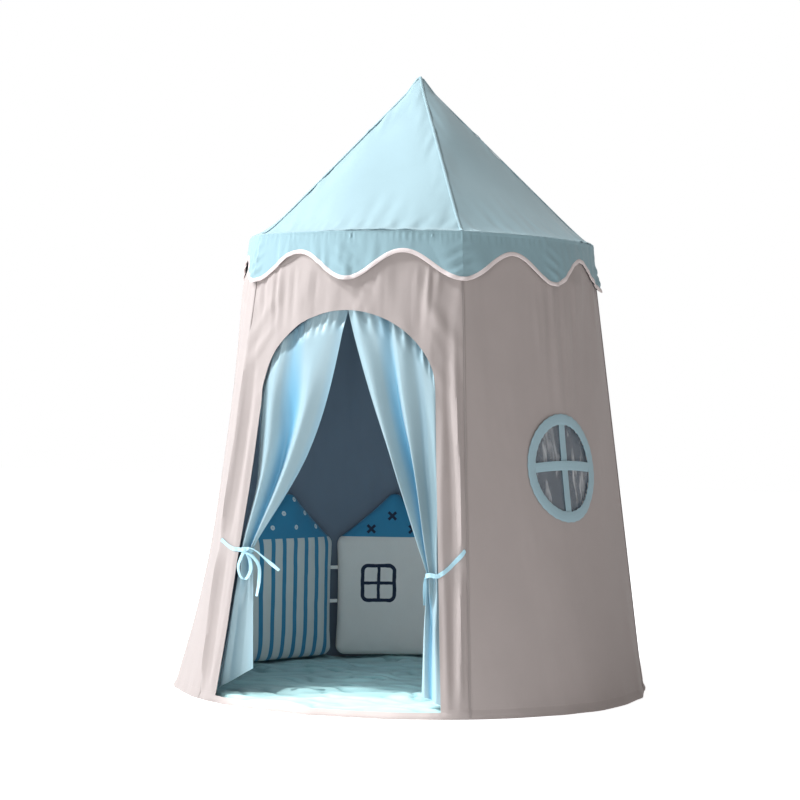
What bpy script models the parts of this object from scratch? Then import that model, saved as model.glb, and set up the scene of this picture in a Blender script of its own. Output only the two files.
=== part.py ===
"""A round tower-shaped play tent for children, in metres, +Z up.

Five cloth wall panels hang between two flexible hoops and five slanted posts, under a
five-sided roof on five rafters. The door faces -Y, between two tied curtains. A quilted
mat lies inside, with two house-shaped cushions against the back wall. The origin is on
the floor, on the tent's axis. Angles are measured round the axis from the door's middle,
positive towards +X.
"""

import math

import bmesh
import bpy
from mathutils import Matrix, Vector

# Panels, counted round from the door
PANEL_NAMES = ("front", "right", "back_right", "back_left", "left")
PANEL_COUNT = len(PANEL_NAMES)
DOOR_PANEL = 0
WINDOW_PANEL = 1

# Overall sizes
BASE_HOOP_RADIUS = 0.589
EAVE_HOOP_RADIUS = 0.443
EAVE_HEIGHT = 1.130
APEX_HEIGHT = 1.572

# Fits
GAP = 0.0003
BORE_CLEARANCE = 0.0003
CLOTH_THICKNESS = 0.002

# Hoops and the connector eyes that their rods plug into
HOOP_ROD_DIAMETER = 0.008
EYE_WALL = 0.0012
EYE_LENGTH = 0.040
HOOP_FACETS = 9
HOOP_SIDES = 8

# Posts, rafters and their sockets
POST_DIAMETER = 0.012
RAFTER_DIAMETER = 0.010
SOCKET_WALL = 0.0025
SOCKET_DEPTH = 0.032
SOCKET_FLOOR = 0.013
POST_SIDES = 10
HUB_RADIUS = 0.017
HUB_HEIGHT = 0.060
HUB_SIDES = 15
HUB_SOCKET_START = 0.010
HUB_CLEARANCE_SHARE = 1.05
SMOOTH_ANGLE = math.radians(40)

# Wall cloth
WALL_FLATNESS_SHARE = 0.40
EAVE_FLATNESS_SHARE = 0.27
EAVE_FLATTENING_POWER = 4
WALL_COLUMNS = 10
WALL_ROWS = 8

# Roof cloth
ROOF_FLATNESS_SHARE = 0.62
ROOF_FLARE = 0.013
ROOF_FLARE_LENGTH = 0.020
ROOF_TIP_RISE = 0.013
ROOF_TIP_RADIUS = 0.040
ROOF_HOLE_RADIUS = 0.002
ROOF_COLUMNS = 8
ROOF_ROW_SHARES = (0.0, 0.06, 0.18, 0.38, 0.60, 0.80)

# Valance and its binding
VALANCE_CREST_DROP = 0.053
VALANCE_TROUGH_DROP = 0.119
VALANCE_STAND_OFF = 0.003
VALANCE_COLUMNS = 16
VALANCE_ROWS = 3
SCALLOPS_PER_PANEL = 2
BINDING_WIDTH = 0.010
BINDING_THICKNESS = 0.0036

# Doorway
JAMB_STRIP_WIDTH = 0.068
ARCH_SPRING_HEIGHT = 0.760
ARCH_RISE = 0.185
THRESHOLD_HEIGHT = 0.016
ARCH_COLUMNS_HALF = 5
STRIP_COLUMNS = 2
JAMB_ROWS = 5
HEAD_ROWS = 3

# Window
WINDOW_HEIGHT = 0.575
WINDOW_OUTER_RADIUS = 0.131
WINDOW_TAPE_WIDTH = 0.026
WINDOW_TAPE_THICKNESS = 0.0016
WINDOW_SEAM_ALLOWANCE = 0.007
PANE_THICKNESS = 0.0008
WINDOW_SIDES = 28
PANE_RINGS = 3

# Curtains
CURTAIN_THICKNESS = 0.0022
CURTAIN_HEADER_TUCK = 0.008
CURTAIN_WAIST_RADIUS = 0.015
CURTAIN_FOLDS = 4
CURTAIN_FOLD_DEPTH = 0.020
CURTAIN_HEADER_FOLD_DEPTH = 0.005
CURTAIN_TAIL_FOLD_DEPTH = 0.012
CURTAIN_COLUMNS = 20
CURTAIN_HEAD_ROWS = 8
CURTAIN_TAIL_ROWS = 5
CURTAIN_MAT_CLEARANCE = 0.003
CURTAIN_EDGE_SET_BACK_SHARE = 0.50
TAIL_OPENING_SHARE = 0.50
HEAD_OPENING_SHARE = 0.34
RIGHT_WAIST_HEIGHT = 0.325
RIGHT_INNER_EDGE_BOW = 0.014
RIGHT_TAIL_LIFT = 0.020
RIGHT_TAIL_INNER_SPREAD = 0.006
RIGHT_TAIL_OUTER_SPREAD = 0.040
RIGHT_TAIL_LEAN = 0.017
LEFT_WAIST_HEIGHT = 0.365
LEFT_INNER_EDGE_BOW = 0.036
LEFT_TAIL_LIFT = 0.055
LEFT_TAIL_INNER_SPREAD = 0.006
LEFT_TAIL_OUTER_SPREAD = 0.074
LEFT_TAIL_LEAN = 0.0

# Ties
TIE_WIDTH = 0.010
TIE_THICKNESS = 0.0015
TIE_CLEARANCE = 0.0006
TIE_SEAM_HEIGHT = 0.385
TIE_WRAP_ANGLE = math.radians(285)
TIE_WRAP_STEPS = 14
TIE_STRAP_STEPS = 4
TAIL_TAPE_WIDTH = 0.006
TAIL_TAPE_THICKNESS = 0.002
KNOT_LENGTH = 0.014
KNOT_HEIGHT = 0.013
KNOT_DEPTH = 0.007
KNOT_SIDES = 8
KNOT_ROWS = 6
RIGHT_KNOT_TURN = math.radians(153)
LEFT_KNOT_TURN = math.radians(22)
BOW_LOOP_LENGTH = 0.062
BOW_LOOP_WIDTH = 0.026
BOW_TAIL_REACH = 0.085
BOW_TAIL_DROP = 0.100
KNOT_TAIL_DROP = 0.070
BOW_LOOP_SHARES = ((0.0, 0.0), (-0.30, 0.35), (-0.42, 0.65), (0.0, 1.0), (0.50, 0.75), (0.42, 0.35), (0.12, 0.0))
BOW_LONG_TAIL_SHARES = ((0.0, 0.0), (0.12, -0.04), (0.30, 0.0), (0.58, 0.16), (1.0, 0.42))
BOW_STAND_OFF_SHARES = (0.50, 0.64, 0.17)
BOW_HANGING_TAIL_SHARES = ((0.0, 0.04), (0.22, 0.14), (0.44, 0.34), (0.42, 0.62), (0.38, 1.0))

# Mat
MAT_THICKNESS = 0.020
MAT_EDGE_DROP = 0.006
MAT_EDGE_INSET = 0.005
MAT_CHANNEL_PITCH = 0.072
MAT_CHANNEL_DEPTH = 0.005
MAT_SIDES = 60
MAT_LINE_CUTS = 3
MAT_SLOPE_WIDTH = 0.040

# House cushions
CUSHION_WIDTH = 0.330
CUSHION_BODY_HEIGHT = 0.325
CUSHION_GABLE_HEIGHT = 0.145
CUSHION_THICKNESS = 0.056
CUSHION_EDGE_THICKNESS = 0.010
CUSHION_SIDE_DRAW = 0.006
CUSHION_CORNER_RADIUS = 0.014
CUSHION_SPACING = 0.012
CUSHION_WALL_CLEARANCE = 0.004
CUSHION_JOIN_ANGLE = math.radians(-131.5)
CUSHION_EDGE_STEPS = 5
CUSHION_RING_SHARES = (0.10, 0.27, 0.57)
CUSHION_MIDDLE_SHARE = 0.55
CUSHION_CROWN_POWER = 4
CUSHION_TIE_HEIGHTS = (0.154, 0.247)
CUSHION_TIE_WIDTH = 0.009
CUSHION_TIE_THICKNESS = 0.002

# One overrun for every cutter
CUT_OVERRUN = 0.010

# Sizes worked out from the ones above
PANEL_ANGLE = 2 * math.pi / PANEL_COUNT
HALF_PANEL = PANEL_ANGLE / 2
HOOP_FACET_ANGLE = PANEL_ANGLE / HOOP_FACETS
HOOP_ROD_RADIUS = HOOP_ROD_DIAMETER / 2
HOOP_BORE_RADIUS = HOOP_ROD_RADIUS + BORE_CLEARANCE
EYE_RADIUS = HOOP_BORE_RADIUS + EYE_WALL
POST_RADIUS = POST_DIAMETER / 2
RAFTER_RADIUS = RAFTER_DIAMETER / 2
POST_SOCKET_RADIUS = POST_RADIUS + BORE_CLEARANCE + SOCKET_WALL
RAFTER_SOCKET_RADIUS = RAFTER_RADIUS + BORE_CLEARANCE + SOCKET_WALL
BASE_HOOP_HEIGHT = EYE_RADIUS


def column_sag_share(columns):
    """How far a flat facet lies inside its arc, as a share of the radius."""
    return 1 - math.cos(PANEL_ANGLE / columns / 2)


def panel_share(angle, flatness):
    """A panel's radius as a share of its seam's radius, from round at 0 to flat at 1."""
    return 1 - flatness + flatness * math.cos(HALF_PANEL) / math.cos(angle)


def cloth_inner_radius(hoop_radius, flatness):
    """The radius at the seams of the cloth's inner face, where it passes round a hoop and its connectors."""
    corner_share = panel_share(HALF_PANEL - HOOP_FACET_ANGLE / 2, flatness)
    middle = hoop_radius * corner_share * math.cos(HOOP_FACET_ANGLE / 2) + EYE_RADIUS
    reach = max(math.hypot(middle, EYE_LENGTH / 2), hoop_radius + HOOP_ROD_RADIUS / panel_share(0, flatness))
    return (reach + GAP) / (1 - column_sag_share(min(WALL_COLUMNS, ROOF_COLUMNS)))


WALL_BASE_RADIUS = cloth_inner_radius(BASE_HOOP_RADIUS, 0) + CLOTH_THICKNESS
EAVE_INNER_RADIUS = cloth_inner_radius(EAVE_HOOP_RADIUS, EAVE_FLATNESS_SHARE)
EAVE_OUTER_RADIUS = EAVE_INNER_RADIUS + CLOTH_THICKNESS
CREASE_HEIGHT = EAVE_HEIGHT + EYE_RADIUS
WALL_TOP_HEIGHT = EAVE_HEIGHT - EYE_RADIUS - GAP
WALL_TOP_RADIUS = EAVE_INNER_RADIUS * (1 - column_sag_share(VALANCE_COLUMNS)) - GAP
WALL_SLOPE = (WALL_BASE_RADIUS - WALL_TOP_RADIUS) / WALL_TOP_HEIGHT
ROOF_SLOPE = (APEX_HEIGHT - ROOF_TIP_RISE - CREASE_HEIGHT + ROOF_FLARE) / EAVE_OUTER_RADIUS


def polar(angle, radius, height):
    return Vector((radius * math.sin(angle), -radius * math.cos(angle), height))


def blend(start, end, share):
    return start + (end - start) * share


def eased(share):
    return share * share * (3 - 2 * share)


# Shapes of the cloth

def wall_flatness(height):
    up_share = min(max(height / WALL_TOP_HEIGHT, 0), 1)
    bow = WALL_FLATNESS_SHARE * math.sin(math.pi * up_share)
    return bow + EAVE_FLATNESS_SHARE * up_share**EAVE_FLATTENING_POWER


def wall_seam_radius(height):
    return WALL_BASE_RADIUS - WALL_SLOPE * height


def wall_radius(angle, height):
    """The wall's outer radius at an angle from its panel's middle."""
    return wall_seam_radius(height) * panel_share(angle, wall_flatness(height))


def roof_ridge_height(radius):
    """The height of the roof's outer face along a ridge."""
    flare = ROOF_FLARE * math.exp((radius - EAVE_OUTER_RADIUS) / ROOF_FLARE_LENGTH)
    tip = ROOF_TIP_RISE * max(0, 1 - radius / ROOF_TIP_RADIUS)
    return APEX_HEIGHT - ROOF_TIP_RISE - ROOF_SLOPE * radius + flare + tip


def roof_flatness(share):
    return ROOF_FLATNESS_SHARE * math.sin(math.pi * share) + EAVE_FLATNESS_SHARE * (1 - share)


def seam_inset(radius):
    """The angle that leaves half a gap at a seam."""
    return math.asin(GAP / 2 / radius)


def facet_dip(distance, radius, columns):
    """How far a flat facet lies inside its arc, at a distance along it from its edge."""
    return distance * (radius * PANEL_ANGLE / columns - distance) / (2 * radius)


def row_bulge(angle, row_height):
    """How far a straight row of cloth stands proud of the wall's inward bow."""
    bow = WALL_BASE_RADIUS * WALL_FLATNESS_SHARE * (1 - math.cos(HALF_PANEL) / math.cos(angle))
    return bow * (1 - math.cos(math.pi * row_height / WALL_TOP_HEIGHT / 2))


# Mesh helpers

def clear_scene():
    for item in list(bpy.data.objects):
        bpy.data.objects.remove(item, do_unlink=True)


def material(name, color, roughness, metallic=0.0, alpha=1.0):
    made = bpy.data.materials.get(name)
    if made:
        return made
    made = bpy.data.materials.new(name)
    made.use_nodes = True
    shader = made.node_tree.nodes["Principled BSDF"]
    shader.inputs["Base Color"].default_value = (*color, 1.0)
    shader.inputs["Roughness"].default_value = roughness
    shader.inputs["Metallic"].default_value = metallic
    shader.inputs["Alpha"].default_value = alpha
    made.diffuse_color = (*color, alpha)
    return made


def place(name, mesh, finish, origin=Vector((0, 0, 0))):
    """Puts a mesh into the scene as one named piece, with its origin on the axis that it turns about."""
    mesh.name = name
    mesh.materials.clear()
    mesh.materials.append(finish)
    mesh.shade_smooth()
    mesh.set_sharp_from_angle(angle=SMOOTH_ANGLE)
    mesh.transform(Matrix.Translation(-origin))
    piece = bpy.data.objects.new(name, mesh)
    piece.location = origin
    bpy.context.scene.collection.objects.link(piece)
    return piece


def mesh_from(points, faces):
    mesh = bpy.data.meshes.new("shape")
    mesh.from_pydata([tuple(point) for point in points], [], faces)
    mesh.validate()
    return mesh


def closed_sheet(outer, inner, faces):
    """A closed sheet from its two faces, with a rim along each open edge."""
    count = len(outer)
    edges = {(face[i - 1], face[i]) for face in faces for i in range(len(face))}
    rim = [(b, a, a + count, b + count) for a, b in sorted(edges) if (b, a) not in edges]
    back = [tuple(i + count for i in reversed(face)) for face in faces]
    return mesh_from(list(outer) + list(inner), [tuple(face) for face in faces] + back + rim)


def grid_faces(rows, columns):
    """Faces of a grid whose rows run upwards and whose columns run to the right, seen from outside."""
    return [
        (i * columns + j, i * columns + j + 1, (i + 1) * columns + j + 1, (i + 1) * columns + j)
        for i in range(rows - 1)
        for j in range(columns - 1)
    ]


def swept(sections, closed=False):
    """A solid through a list of closed sections, each a ring of points, capped unless closed."""
    sides = len(sections[0])
    count = len(sections)
    points = [point for section in sections for point in section]
    faces = []
    for i in range(count if closed else count - 1):
        for j in range(sides):
            a, b = i * sides + j, i * sides + (j + 1) % sides
            c, d = (i + 1) % count * sides + (j + 1) % sides, (i + 1) % count * sides + j
            faces.append((a, b, c, d))
    if not closed:
        faces.append(tuple(reversed(range(sides))))
        faces.append(tuple(range((count - 1) * sides, count * sides)))
    mesh = mesh_from(points, faces)
    face_outwards(mesh)
    return mesh


def face_outwards(mesh):
    work = bmesh.new()
    work.from_mesh(mesh)
    bmesh.ops.recalc_face_normals(work, faces=work.faces)
    if work.calc_volume(signed=True) < 0:
        bmesh.ops.reverse_faces(work, faces=work.faces)
    work.to_mesh(mesh)
    work.free()


def ring_section(centre, across, up, radius, sides):
    turn = 2 * math.pi / sides
    return [
        centre + across * (radius * math.cos((i + 0.5) * turn)) + up * (radius * math.sin((i + 0.5) * turn))
        for i in range(sides)
    ]


def rod(start, end, radius, sides):
    """A straight round rod."""
    along = (end - start).normalized()
    across = along.orthogonal().normalized()
    up = along.cross(across)
    return swept([ring_section(point, across, up, radius, sides) for point in (start, end)])


def ball(centre, radius, sides):
    work = bmesh.new()
    bmesh.ops.create_uvsphere(
        work, u_segments=sides, v_segments=sides // 2, radius=radius, matrix=Matrix.Translation(centre)
    )
    mesh = bpy.data.meshes.new("ball")
    work.to_mesh(mesh)
    work.free()
    return mesh


def combined(base, steps):
    """A mesh after other meshes are joined to it or cut from it, in turn."""
    body = bpy.data.objects.new("body", base)
    bpy.context.scene.collection.objects.link(body)
    tools = []
    for operation, mesh in steps:
        tool = bpy.data.objects.new("tool", mesh)
        bpy.context.scene.collection.objects.link(tool)
        step = body.modifiers.new("step", "BOOLEAN")
        step.operation = operation
        step.solver = "EXACT"
        step.object = tool
        tools.append(tool)
    graph = bpy.context.evaluated_depsgraph_get()
    result = bpy.data.meshes.new_from_object(body.evaluated_get(graph))
    for item in [body] + tools:
        bpy.data.objects.remove(item, do_unlink=True)
    return result


def turned(mesh, index):
    """A copy of a mesh for another panel."""
    copy = mesh.copy()
    copy.transform(turned_about_axis(index))
    return copy


def turned_about_axis(index):
    """The move that takes the first panel to another one."""
    return Matrix.Rotation(index * PANEL_ANGLE, 4, "Z")


def panel_angle(index):
    return index * PANEL_ANGLE


# Frame: where its axes run

def post_axis(height):
    """A point on the first post's axis, on the seam to the right of the door."""
    slant = math.cos(math.atan(WALL_SLOPE))
    inset = CLOTH_THICKNESS + (POST_SOCKET_RADIUS + GAP) / slant
    inset += facet_dip(POST_SOCKET_RADIUS, WALL_BASE_RADIUS, WALL_COLUMNS)
    return polar(HALF_PANEL, wall_seam_radius(height) - inset, height)


def rafter_height(radius):
    drop = (CLOTH_THICKNESS + GAP + RAFTER_SOCKET_RADIUS) / math.cos(math.atan(ROOF_SLOPE))
    return APEX_HEIGHT - ROOF_TIP_RISE - drop - ROOF_SLOPE * radius


def rafter_axis(radius):
    return polar(HALF_PANEL, radius, rafter_height(radius))


def elbow_point():
    """Where the post's axis meets the rafter's axis."""
    base = post_axis(0)
    base_radius = math.hypot(base.x, base.y)
    radius = (base_radius - WALL_SLOPE * rafter_height(0)) / (1 - WALL_SLOPE * ROOF_SLOPE)
    return rafter_axis(radius)


def hoop_corner(hoop_radius, height, facet):
    """A corner of a hoop's axis. A hoop is drawn in between the seams as far as the wall is."""
    from_seam = facet * HOOP_FACET_ANGLE
    angle = (from_seam + PANEL_ANGLE) % PANEL_ANGLE - HALF_PANEL
    return polar(HALF_PANEL + from_seam, hoop_radius * panel_share(angle, wall_flatness(height)), height)


def hoop_point(hoop_radius, height, facet):
    """A point on a hoop's axis, counted in facets from the seam to the right of the door."""
    corner = math.floor(facet + 0.5)
    ends = [hoop_corner(hoop_radius, height, corner + side) for side in (-0.5, 0.5)]
    return blend(ends[0], ends[1], facet + 0.5 - corner)


def hoop_rod(hoop_radius, height, index):
    """One rod of a hoop, which runs from one connector's eye into the next one's."""
    first = index * HOOP_FACETS
    stations = [first] + [first + 0.5 + i for i in range(HOOP_FACETS)] + [first + HOOP_FACETS]
    up = Vector((0, 0, 1))
    end_gap = GAP / 2
    sections = []
    for number, station in enumerate(stations):
        angle = HALF_PANEL + station * HOOP_FACET_ANGLE
        if number in (0, len(stations) - 1):
            centre = hoop_point(hoop_radius, height, station)
            tangent = Vector((math.cos(angle), math.sin(angle), 0))
            centre += tangent * (end_gap if number == 0 else -end_gap)
        else:
            centre = hoop_corner(hoop_radius, height, station)
        outward = polar(angle, 1, 0)
        sections.append(ring_section(centre, outward, up, HOOP_ROD_RADIUS, HOOP_SIDES))
    return swept(sections)


def eye_and_bore(hoop_radius, height):
    """The eye of a connector round its hoop, and the bore through it."""
    centre = hoop_point(hoop_radius, height, 0)
    tangent = Vector((math.cos(HALF_PANEL), math.sin(HALF_PANEL), 0))
    half = tangent * (EYE_LENGTH / 2)
    over = tangent * CUT_OVERRUN
    eye = rod(centre - half, centre + half, EYE_RADIUS, HOOP_SIDES)
    bore = rod(centre - half - over, centre + half + over, HOOP_BORE_RADIUS, HOOP_SIDES)
    return eye, bore


def socket_and_bore(start, direction, socket_radius, rod_radius):
    """A blind socket that starts at a point and opens along a direction."""
    mouth = start + direction * (SOCKET_FLOOR + SOCKET_DEPTH)
    body = rod(start, mouth, socket_radius, POST_SIDES)
    floor = start + direction * SOCKET_FLOOR
    bore = rod(floor, mouth + direction * CUT_OVERRUN, rod_radius + BORE_CLEARANCE, POST_SIDES)
    return body, bore


def post_direction():
    return (post_axis(EAVE_HEIGHT) - post_axis(0)).normalized()


def rafter_direction():
    return (rafter_axis(0) - rafter_axis(EAVE_HOOP_RADIUS)).normalized()


def eave_connector():
    """Two sockets that meet in an elbow, with a neck from there to the eye for the hoop."""
    elbow = elbow_point()
    neck = rod(elbow, hoop_point(EAVE_HOOP_RADIUS, EAVE_HEIGHT, 0), EYE_RADIUS, HOOP_SIDES)
    post_socket, post_bore = socket_and_bore(elbow, -post_direction(), POST_SOCKET_RADIUS, POST_RADIUS)
    rafter_socket, rafter_bore = socket_and_bore(
        elbow, rafter_direction(), RAFTER_SOCKET_RADIUS, RAFTER_RADIUS
    )
    eye, eye_bore = eye_and_bore(EAVE_HOOP_RADIUS, EAVE_HEIGHT)
    steps = [
        ("UNION", post_socket),
        ("UNION", rafter_socket),
        ("UNION", neck),
        ("UNION", eye),
        ("DIFFERENCE", post_bore),
        ("DIFFERENCE", rafter_bore),
        ("DIFFERENCE", eye_bore),
    ]
    return combined(ball(elbow, RAFTER_SOCKET_RADIUS, POST_SIDES), steps)


def base_connector():
    """A socket for the post over an eye for the hoop, cut flat at the floor."""
    foot = post_axis(0)
    start = foot - post_direction() * POST_SOCKET_RADIUS
    bore_start = post_axis(2 * BASE_HOOP_HEIGHT + SOCKET_WALL)
    mouth = bore_start + post_direction() * SOCKET_DEPTH
    body = rod(start, mouth, POST_SOCKET_RADIUS, POST_SIDES)
    bore = rod(bore_start, mouth + post_direction() * CUT_OVERRUN, POST_RADIUS + BORE_CLEARANCE, POST_SIDES)
    eye, eye_bore = eye_and_bore(BASE_HOOP_RADIUS, BASE_HOOP_HEIGHT)
    ground = rod(foot - Vector((0, 0, 2 * CUT_OVERRUN)), foot, 2 * POST_SOCKET_RADIUS, POST_SIDES)
    steps = [("UNION", eye), ("DIFFERENCE", bore), ("DIFFERENCE", eye_bore), ("DIFFERENCE", ground)]
    return combined(body, steps)


def post_span():
    """The post's two ends, each a gap off its socket's floor."""
    lower = post_axis(2 * BASE_HOOP_HEIGHT + SOCKET_WALL) + post_direction() * GAP
    upper = elbow_point() - post_direction() * (SOCKET_FLOOR + GAP)
    return lower, upper


def post():
    lower, upper = post_span()
    return rod(lower, upper, POST_RADIUS, POST_SIDES)


def hub_socket_start():
    return rafter_axis(HUB_SOCKET_START)


def rafter():
    start = elbow_point() + rafter_direction() * (SOCKET_FLOOR + GAP)
    end = hub_socket_start() - rafter_direction() * (SOCKET_FLOOR + GAP)
    return rod(start, end, RAFTER_RADIUS, POST_SIDES)


def apex_hub():
    """The hub under the roof's tip, with one socket for each rafter."""
    def skin(radius):
        lift = CLOTH_THICKNESS * math.hypot(1, ROOF_SLOPE + ROOF_TIP_RISE / ROOF_TIP_RADIUS)
        return roof_ridge_height(radius * HUB_CLEARANCE_SHARE) - lift - 2 * GAP

    shoulder = HUB_RADIUS * math.cos(HALF_PANEL)
    foot_height = skin(0) - HUB_HEIGHT
    profile = ((ROOF_HOLE_RADIUS, skin(ROOF_HOLE_RADIUS)), (shoulder, skin(HUB_RADIUS)), (shoulder, foot_height))
    across = Vector((1, 0, 0))
    up = Vector((0, 1, 0))
    core = swept([ring_section(Vector((0, 0, z)), across, up, r, HUB_SIDES) for r, z in profile])
    body, bore = socket_and_bore(hub_socket_start(), -rafter_direction(), RAFTER_SOCKET_RADIUS, RAFTER_RADIUS)
    steps = []
    for operation, mesh in (("UNION", body), ("DIFFERENCE", bore)):
        steps += [(operation, turned(mesh, i)) for i in range(PANEL_COUNT)]
    return combined(core, steps)


# Walls

def wall_point(panel, angle, height, lift=0.0):
    """A point on a wall panel's outer face, or off it by a lift."""
    return polar(panel_angle(panel) + angle, wall_radius(angle, height) + lift, height)


def wall_edge_angle(height):
    return HALF_PANEL - seam_inset(wall_seam_radius(height))


def jamb_angle(height):
    """The doorway's half angle below the arch."""
    return HALF_PANEL - JAMB_STRIP_WIDTH / wall_seam_radius(height)


def sheet_from_rows(point, rows, columns):
    """A closed sheet from point(row, column, lift) over a whole grid."""
    cells = [(i, j) for i in range(rows) for j in range(columns)]
    outer = [point(i, j, 0.0) for i, j in cells]
    inner = [point(i, j, -CLOTH_THICKNESS) for i, j in cells]
    return closed_sheet(outer, inner, grid_faces(rows, columns))


def plain_wall(panel):
    def point(i, j, lift):
        height = WALL_TOP_HEIGHT * i / WALL_ROWS
        angle = wall_edge_angle(height) * (2 * j / WALL_COLUMNS - 1)
        return wall_point(panel, angle, height, lift)

    return sheet_from_rows(point, WALL_ROWS + 1, WALL_COLUMNS + 1)


def arch_height(share):
    """The arch's height at a share of the doorway's half width."""
    return ARCH_SPRING_HEIGHT + ARCH_RISE * math.sqrt(max(0, 1 - share * share))


def front_wall():
    """The door panel: two jamb strips, the cloth over the arch and a threshold that holds the hoop."""
    columns = [("strip", -1 + i / STRIP_COLUMNS) for i in range(STRIP_COLUMNS)]
    for i in range(-ARCH_COLUMNS_HALF, ARCH_COLUMNS_HALF + 1):
        columns.append(("arch", math.sin(math.pi / 2 * i / ARCH_COLUMNS_HALF)))
    columns += [("strip", (i + 1) / STRIP_COLUMNS) for i in range(STRIP_COLUMNS)]
    low_heights = [0.0, THRESHOLD_HEIGHT]
    low_heights += [blend(THRESHOLD_HEIGHT, ARCH_SPRING_HEIGHT, (i + 1) / JAMB_ROWS) for i in range(JAMB_ROWS)]

    def angle_at(column, height):
        kind, value = column
        jamb = jamb_angle(height)
        if kind == "arch":
            return value * jamb
        side = 1 if value > 0 else -1
        share = abs(value)
        return side * blend(jamb, wall_edge_angle(height), share)

    def heights_of(column):
        kind, value = column
        foot = arch_height(value) if kind == "arch" else ARCH_SPRING_HEIGHT
        return [blend(foot, WALL_TOP_HEIGHT, (i + 1) / HEAD_ROWS) for i in range(HEAD_ROWS)], foot

    outer, inner, index = [], [], {}

    def add(key, column, height):
        if key not in index:
            index[key] = len(outer)
            outer.append(wall_point(DOOR_PANEL, angle_at(column, height), height))
            inner.append(wall_point(DOOR_PANEL, angle_at(column, height), height, -CLOTH_THICKNESS))
        return index[key]

    def corner(j, level):
        """Level counts up the jamb rows, and then on from the foot of the head rows."""
        column = columns[j]
        if level < len(low_heights) - 1:
            return add((j, level), column, low_heights[level])
        heights, foot = heights_of(column)
        row = level - len(low_heights)
        return add((j, level), column, foot if row < 0 else heights[row])

    spring = len(low_heights) - 1
    faces = []
    for j in range(len(columns) - 1):
        in_door = columns[j][0] == columns[j + 1][0] == "arch"
        for level in range(spring + HEAD_ROWS):
            if in_door and 0 < level < spring:
                continue
            corners = (corner(j, level), corner(j + 1, level), corner(j + 1, level + 1), corner(j, level + 1))
            faces.append(corners)
    return closed_sheet(outer, inner, faces)


def window_frame():
    """The window's middle on the wall, its outward direction and its upward direction."""
    centre = wall_point(WINDOW_PANEL, 0.0, WINDOW_HEIGHT)
    outward = polar(panel_angle(WINDOW_PANEL), 1, 0)
    return centre, outward, Vector((0, 0, 1))


def window_wall():
    centre, outward, up = window_frame()
    across = up.cross(outward)
    hole_radius = WINDOW_OUTER_RADIUS - WINDOW_TAPE_WIDTH + WINDOW_SEAM_ALLOWANCE
    reach = outward * WINDOW_OUTER_RADIUS
    ends = (centre - reach, centre + reach)
    cutter = swept([ring_section(end, across, up, hole_radius, WINDOW_SIDES) for end in ends])
    return combined(plain_wall(WINDOW_PANEL), [("DIFFERENCE", cutter)])


def window_point(across, up, lift):
    """A point on the window's wall, by its distance along the cloth from the window's middle."""
    height = WINDOW_HEIGHT + up
    angle = across / wall_radius(0.0, WINDOW_HEIGHT)
    row = height / WALL_TOP_HEIGHT * WALL_ROWS
    low, high = (WALL_TOP_HEIGHT * edge / WALL_ROWS for edge in (math.floor(row), math.floor(row) + 1))
    radius = blend(wall_radius(angle, low), wall_radius(angle, high), row - math.floor(row))
    return polar(panel_angle(WINDOW_PANEL) + angle, radius + lift, height)


def window_ring():
    inner_radius = WINDOW_OUTER_RADIUS - WINDOW_TAPE_WIDTH
    sections = []
    for i in range(WINDOW_SIDES):
        turn = 2 * math.pi * i / WINDOW_SIDES
        corners = (
            (inner_radius, 2 * GAP),
            (WINDOW_OUTER_RADIUS, 2 * GAP),
            (WINDOW_OUTER_RADIUS, 2 * GAP + WINDOW_TAPE_THICKNESS),
            (inner_radius, 2 * GAP + WINDOW_TAPE_THICKNESS),
        )
        sections.append([window_point(r * math.cos(turn), r * math.sin(turn), lift) for r, lift in corners])
    return swept(sections, closed=True)


def window_muntins():
    """The cross of tape over the pane, between the ring's inner edges."""
    half = WINDOW_TAPE_WIDTH / 2
    reach = (WINDOW_OUTER_RADIUS - WINDOW_TAPE_WIDTH) * math.cos(math.pi / WINDOW_SIDES)
    end = math.sqrt(reach * reach - half * half) - GAP
    middle = (end + half) / 2
    stops = (-end, -middle, -half, half, middle, end)
    index, outer, inner, faces = {}, [], [], []

    def add(x, z):
        if (x, z) not in index:
            index[(x, z)] = len(outer)
            outer.append(window_point(x, z, 2 * GAP + WINDOW_TAPE_THICKNESS))
            inner.append(window_point(x, z, 2 * GAP))
        return index[(x, z)]

    for a, b in zip(stops[:-1], stops[1:]):
        faces.append((add(a, -half), add(b, -half), add(b, half), add(a, half)))
        if (a, b) != (-half, half):
            faces.append((add(-half, a), add(half, a), add(half, b), add(-half, b)))
    return closed_sheet(outer, inner, faces)


def window_pane():
    """The clear sheet behind the wall, sewn in under the ring."""
    radius = WINDOW_OUTER_RADIUS - GAP
    sag = wall_seam_radius(WINDOW_HEIGHT) * column_sag_share(WALL_COLUMNS)
    level = -CLOTH_THICKNESS - sag - GAP
    outer = [window_point(0.0, 0.0, level)]
    inner = [window_point(0.0, 0.0, level - PANE_THICKNESS)]
    faces = []
    for ring in range(1, PANE_RINGS + 1):
        r = radius * ring / PANE_RINGS
        for i in range(WINDOW_SIDES):
            turn = 2 * math.pi * i / WINDOW_SIDES
            outer.append(window_point(r * math.cos(turn), r * math.sin(turn), level))
            inner.append(window_point(r * math.cos(turn), r * math.sin(turn), level - PANE_THICKNESS))
    for i in range(WINDOW_SIDES):
        following = (i + 1) % WINDOW_SIDES
        faces.append((0, 1 + i, 1 + following))
        for ring in range(1, PANE_RINGS):
            low, high = 1 + (ring - 1) * WINDOW_SIDES, 1 + ring * WINDOW_SIDES
            faces.append((low + i, high + i, high + following, low + following))
    return closed_sheet(outer, inner, faces)


# Roof, valance and binding

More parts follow.
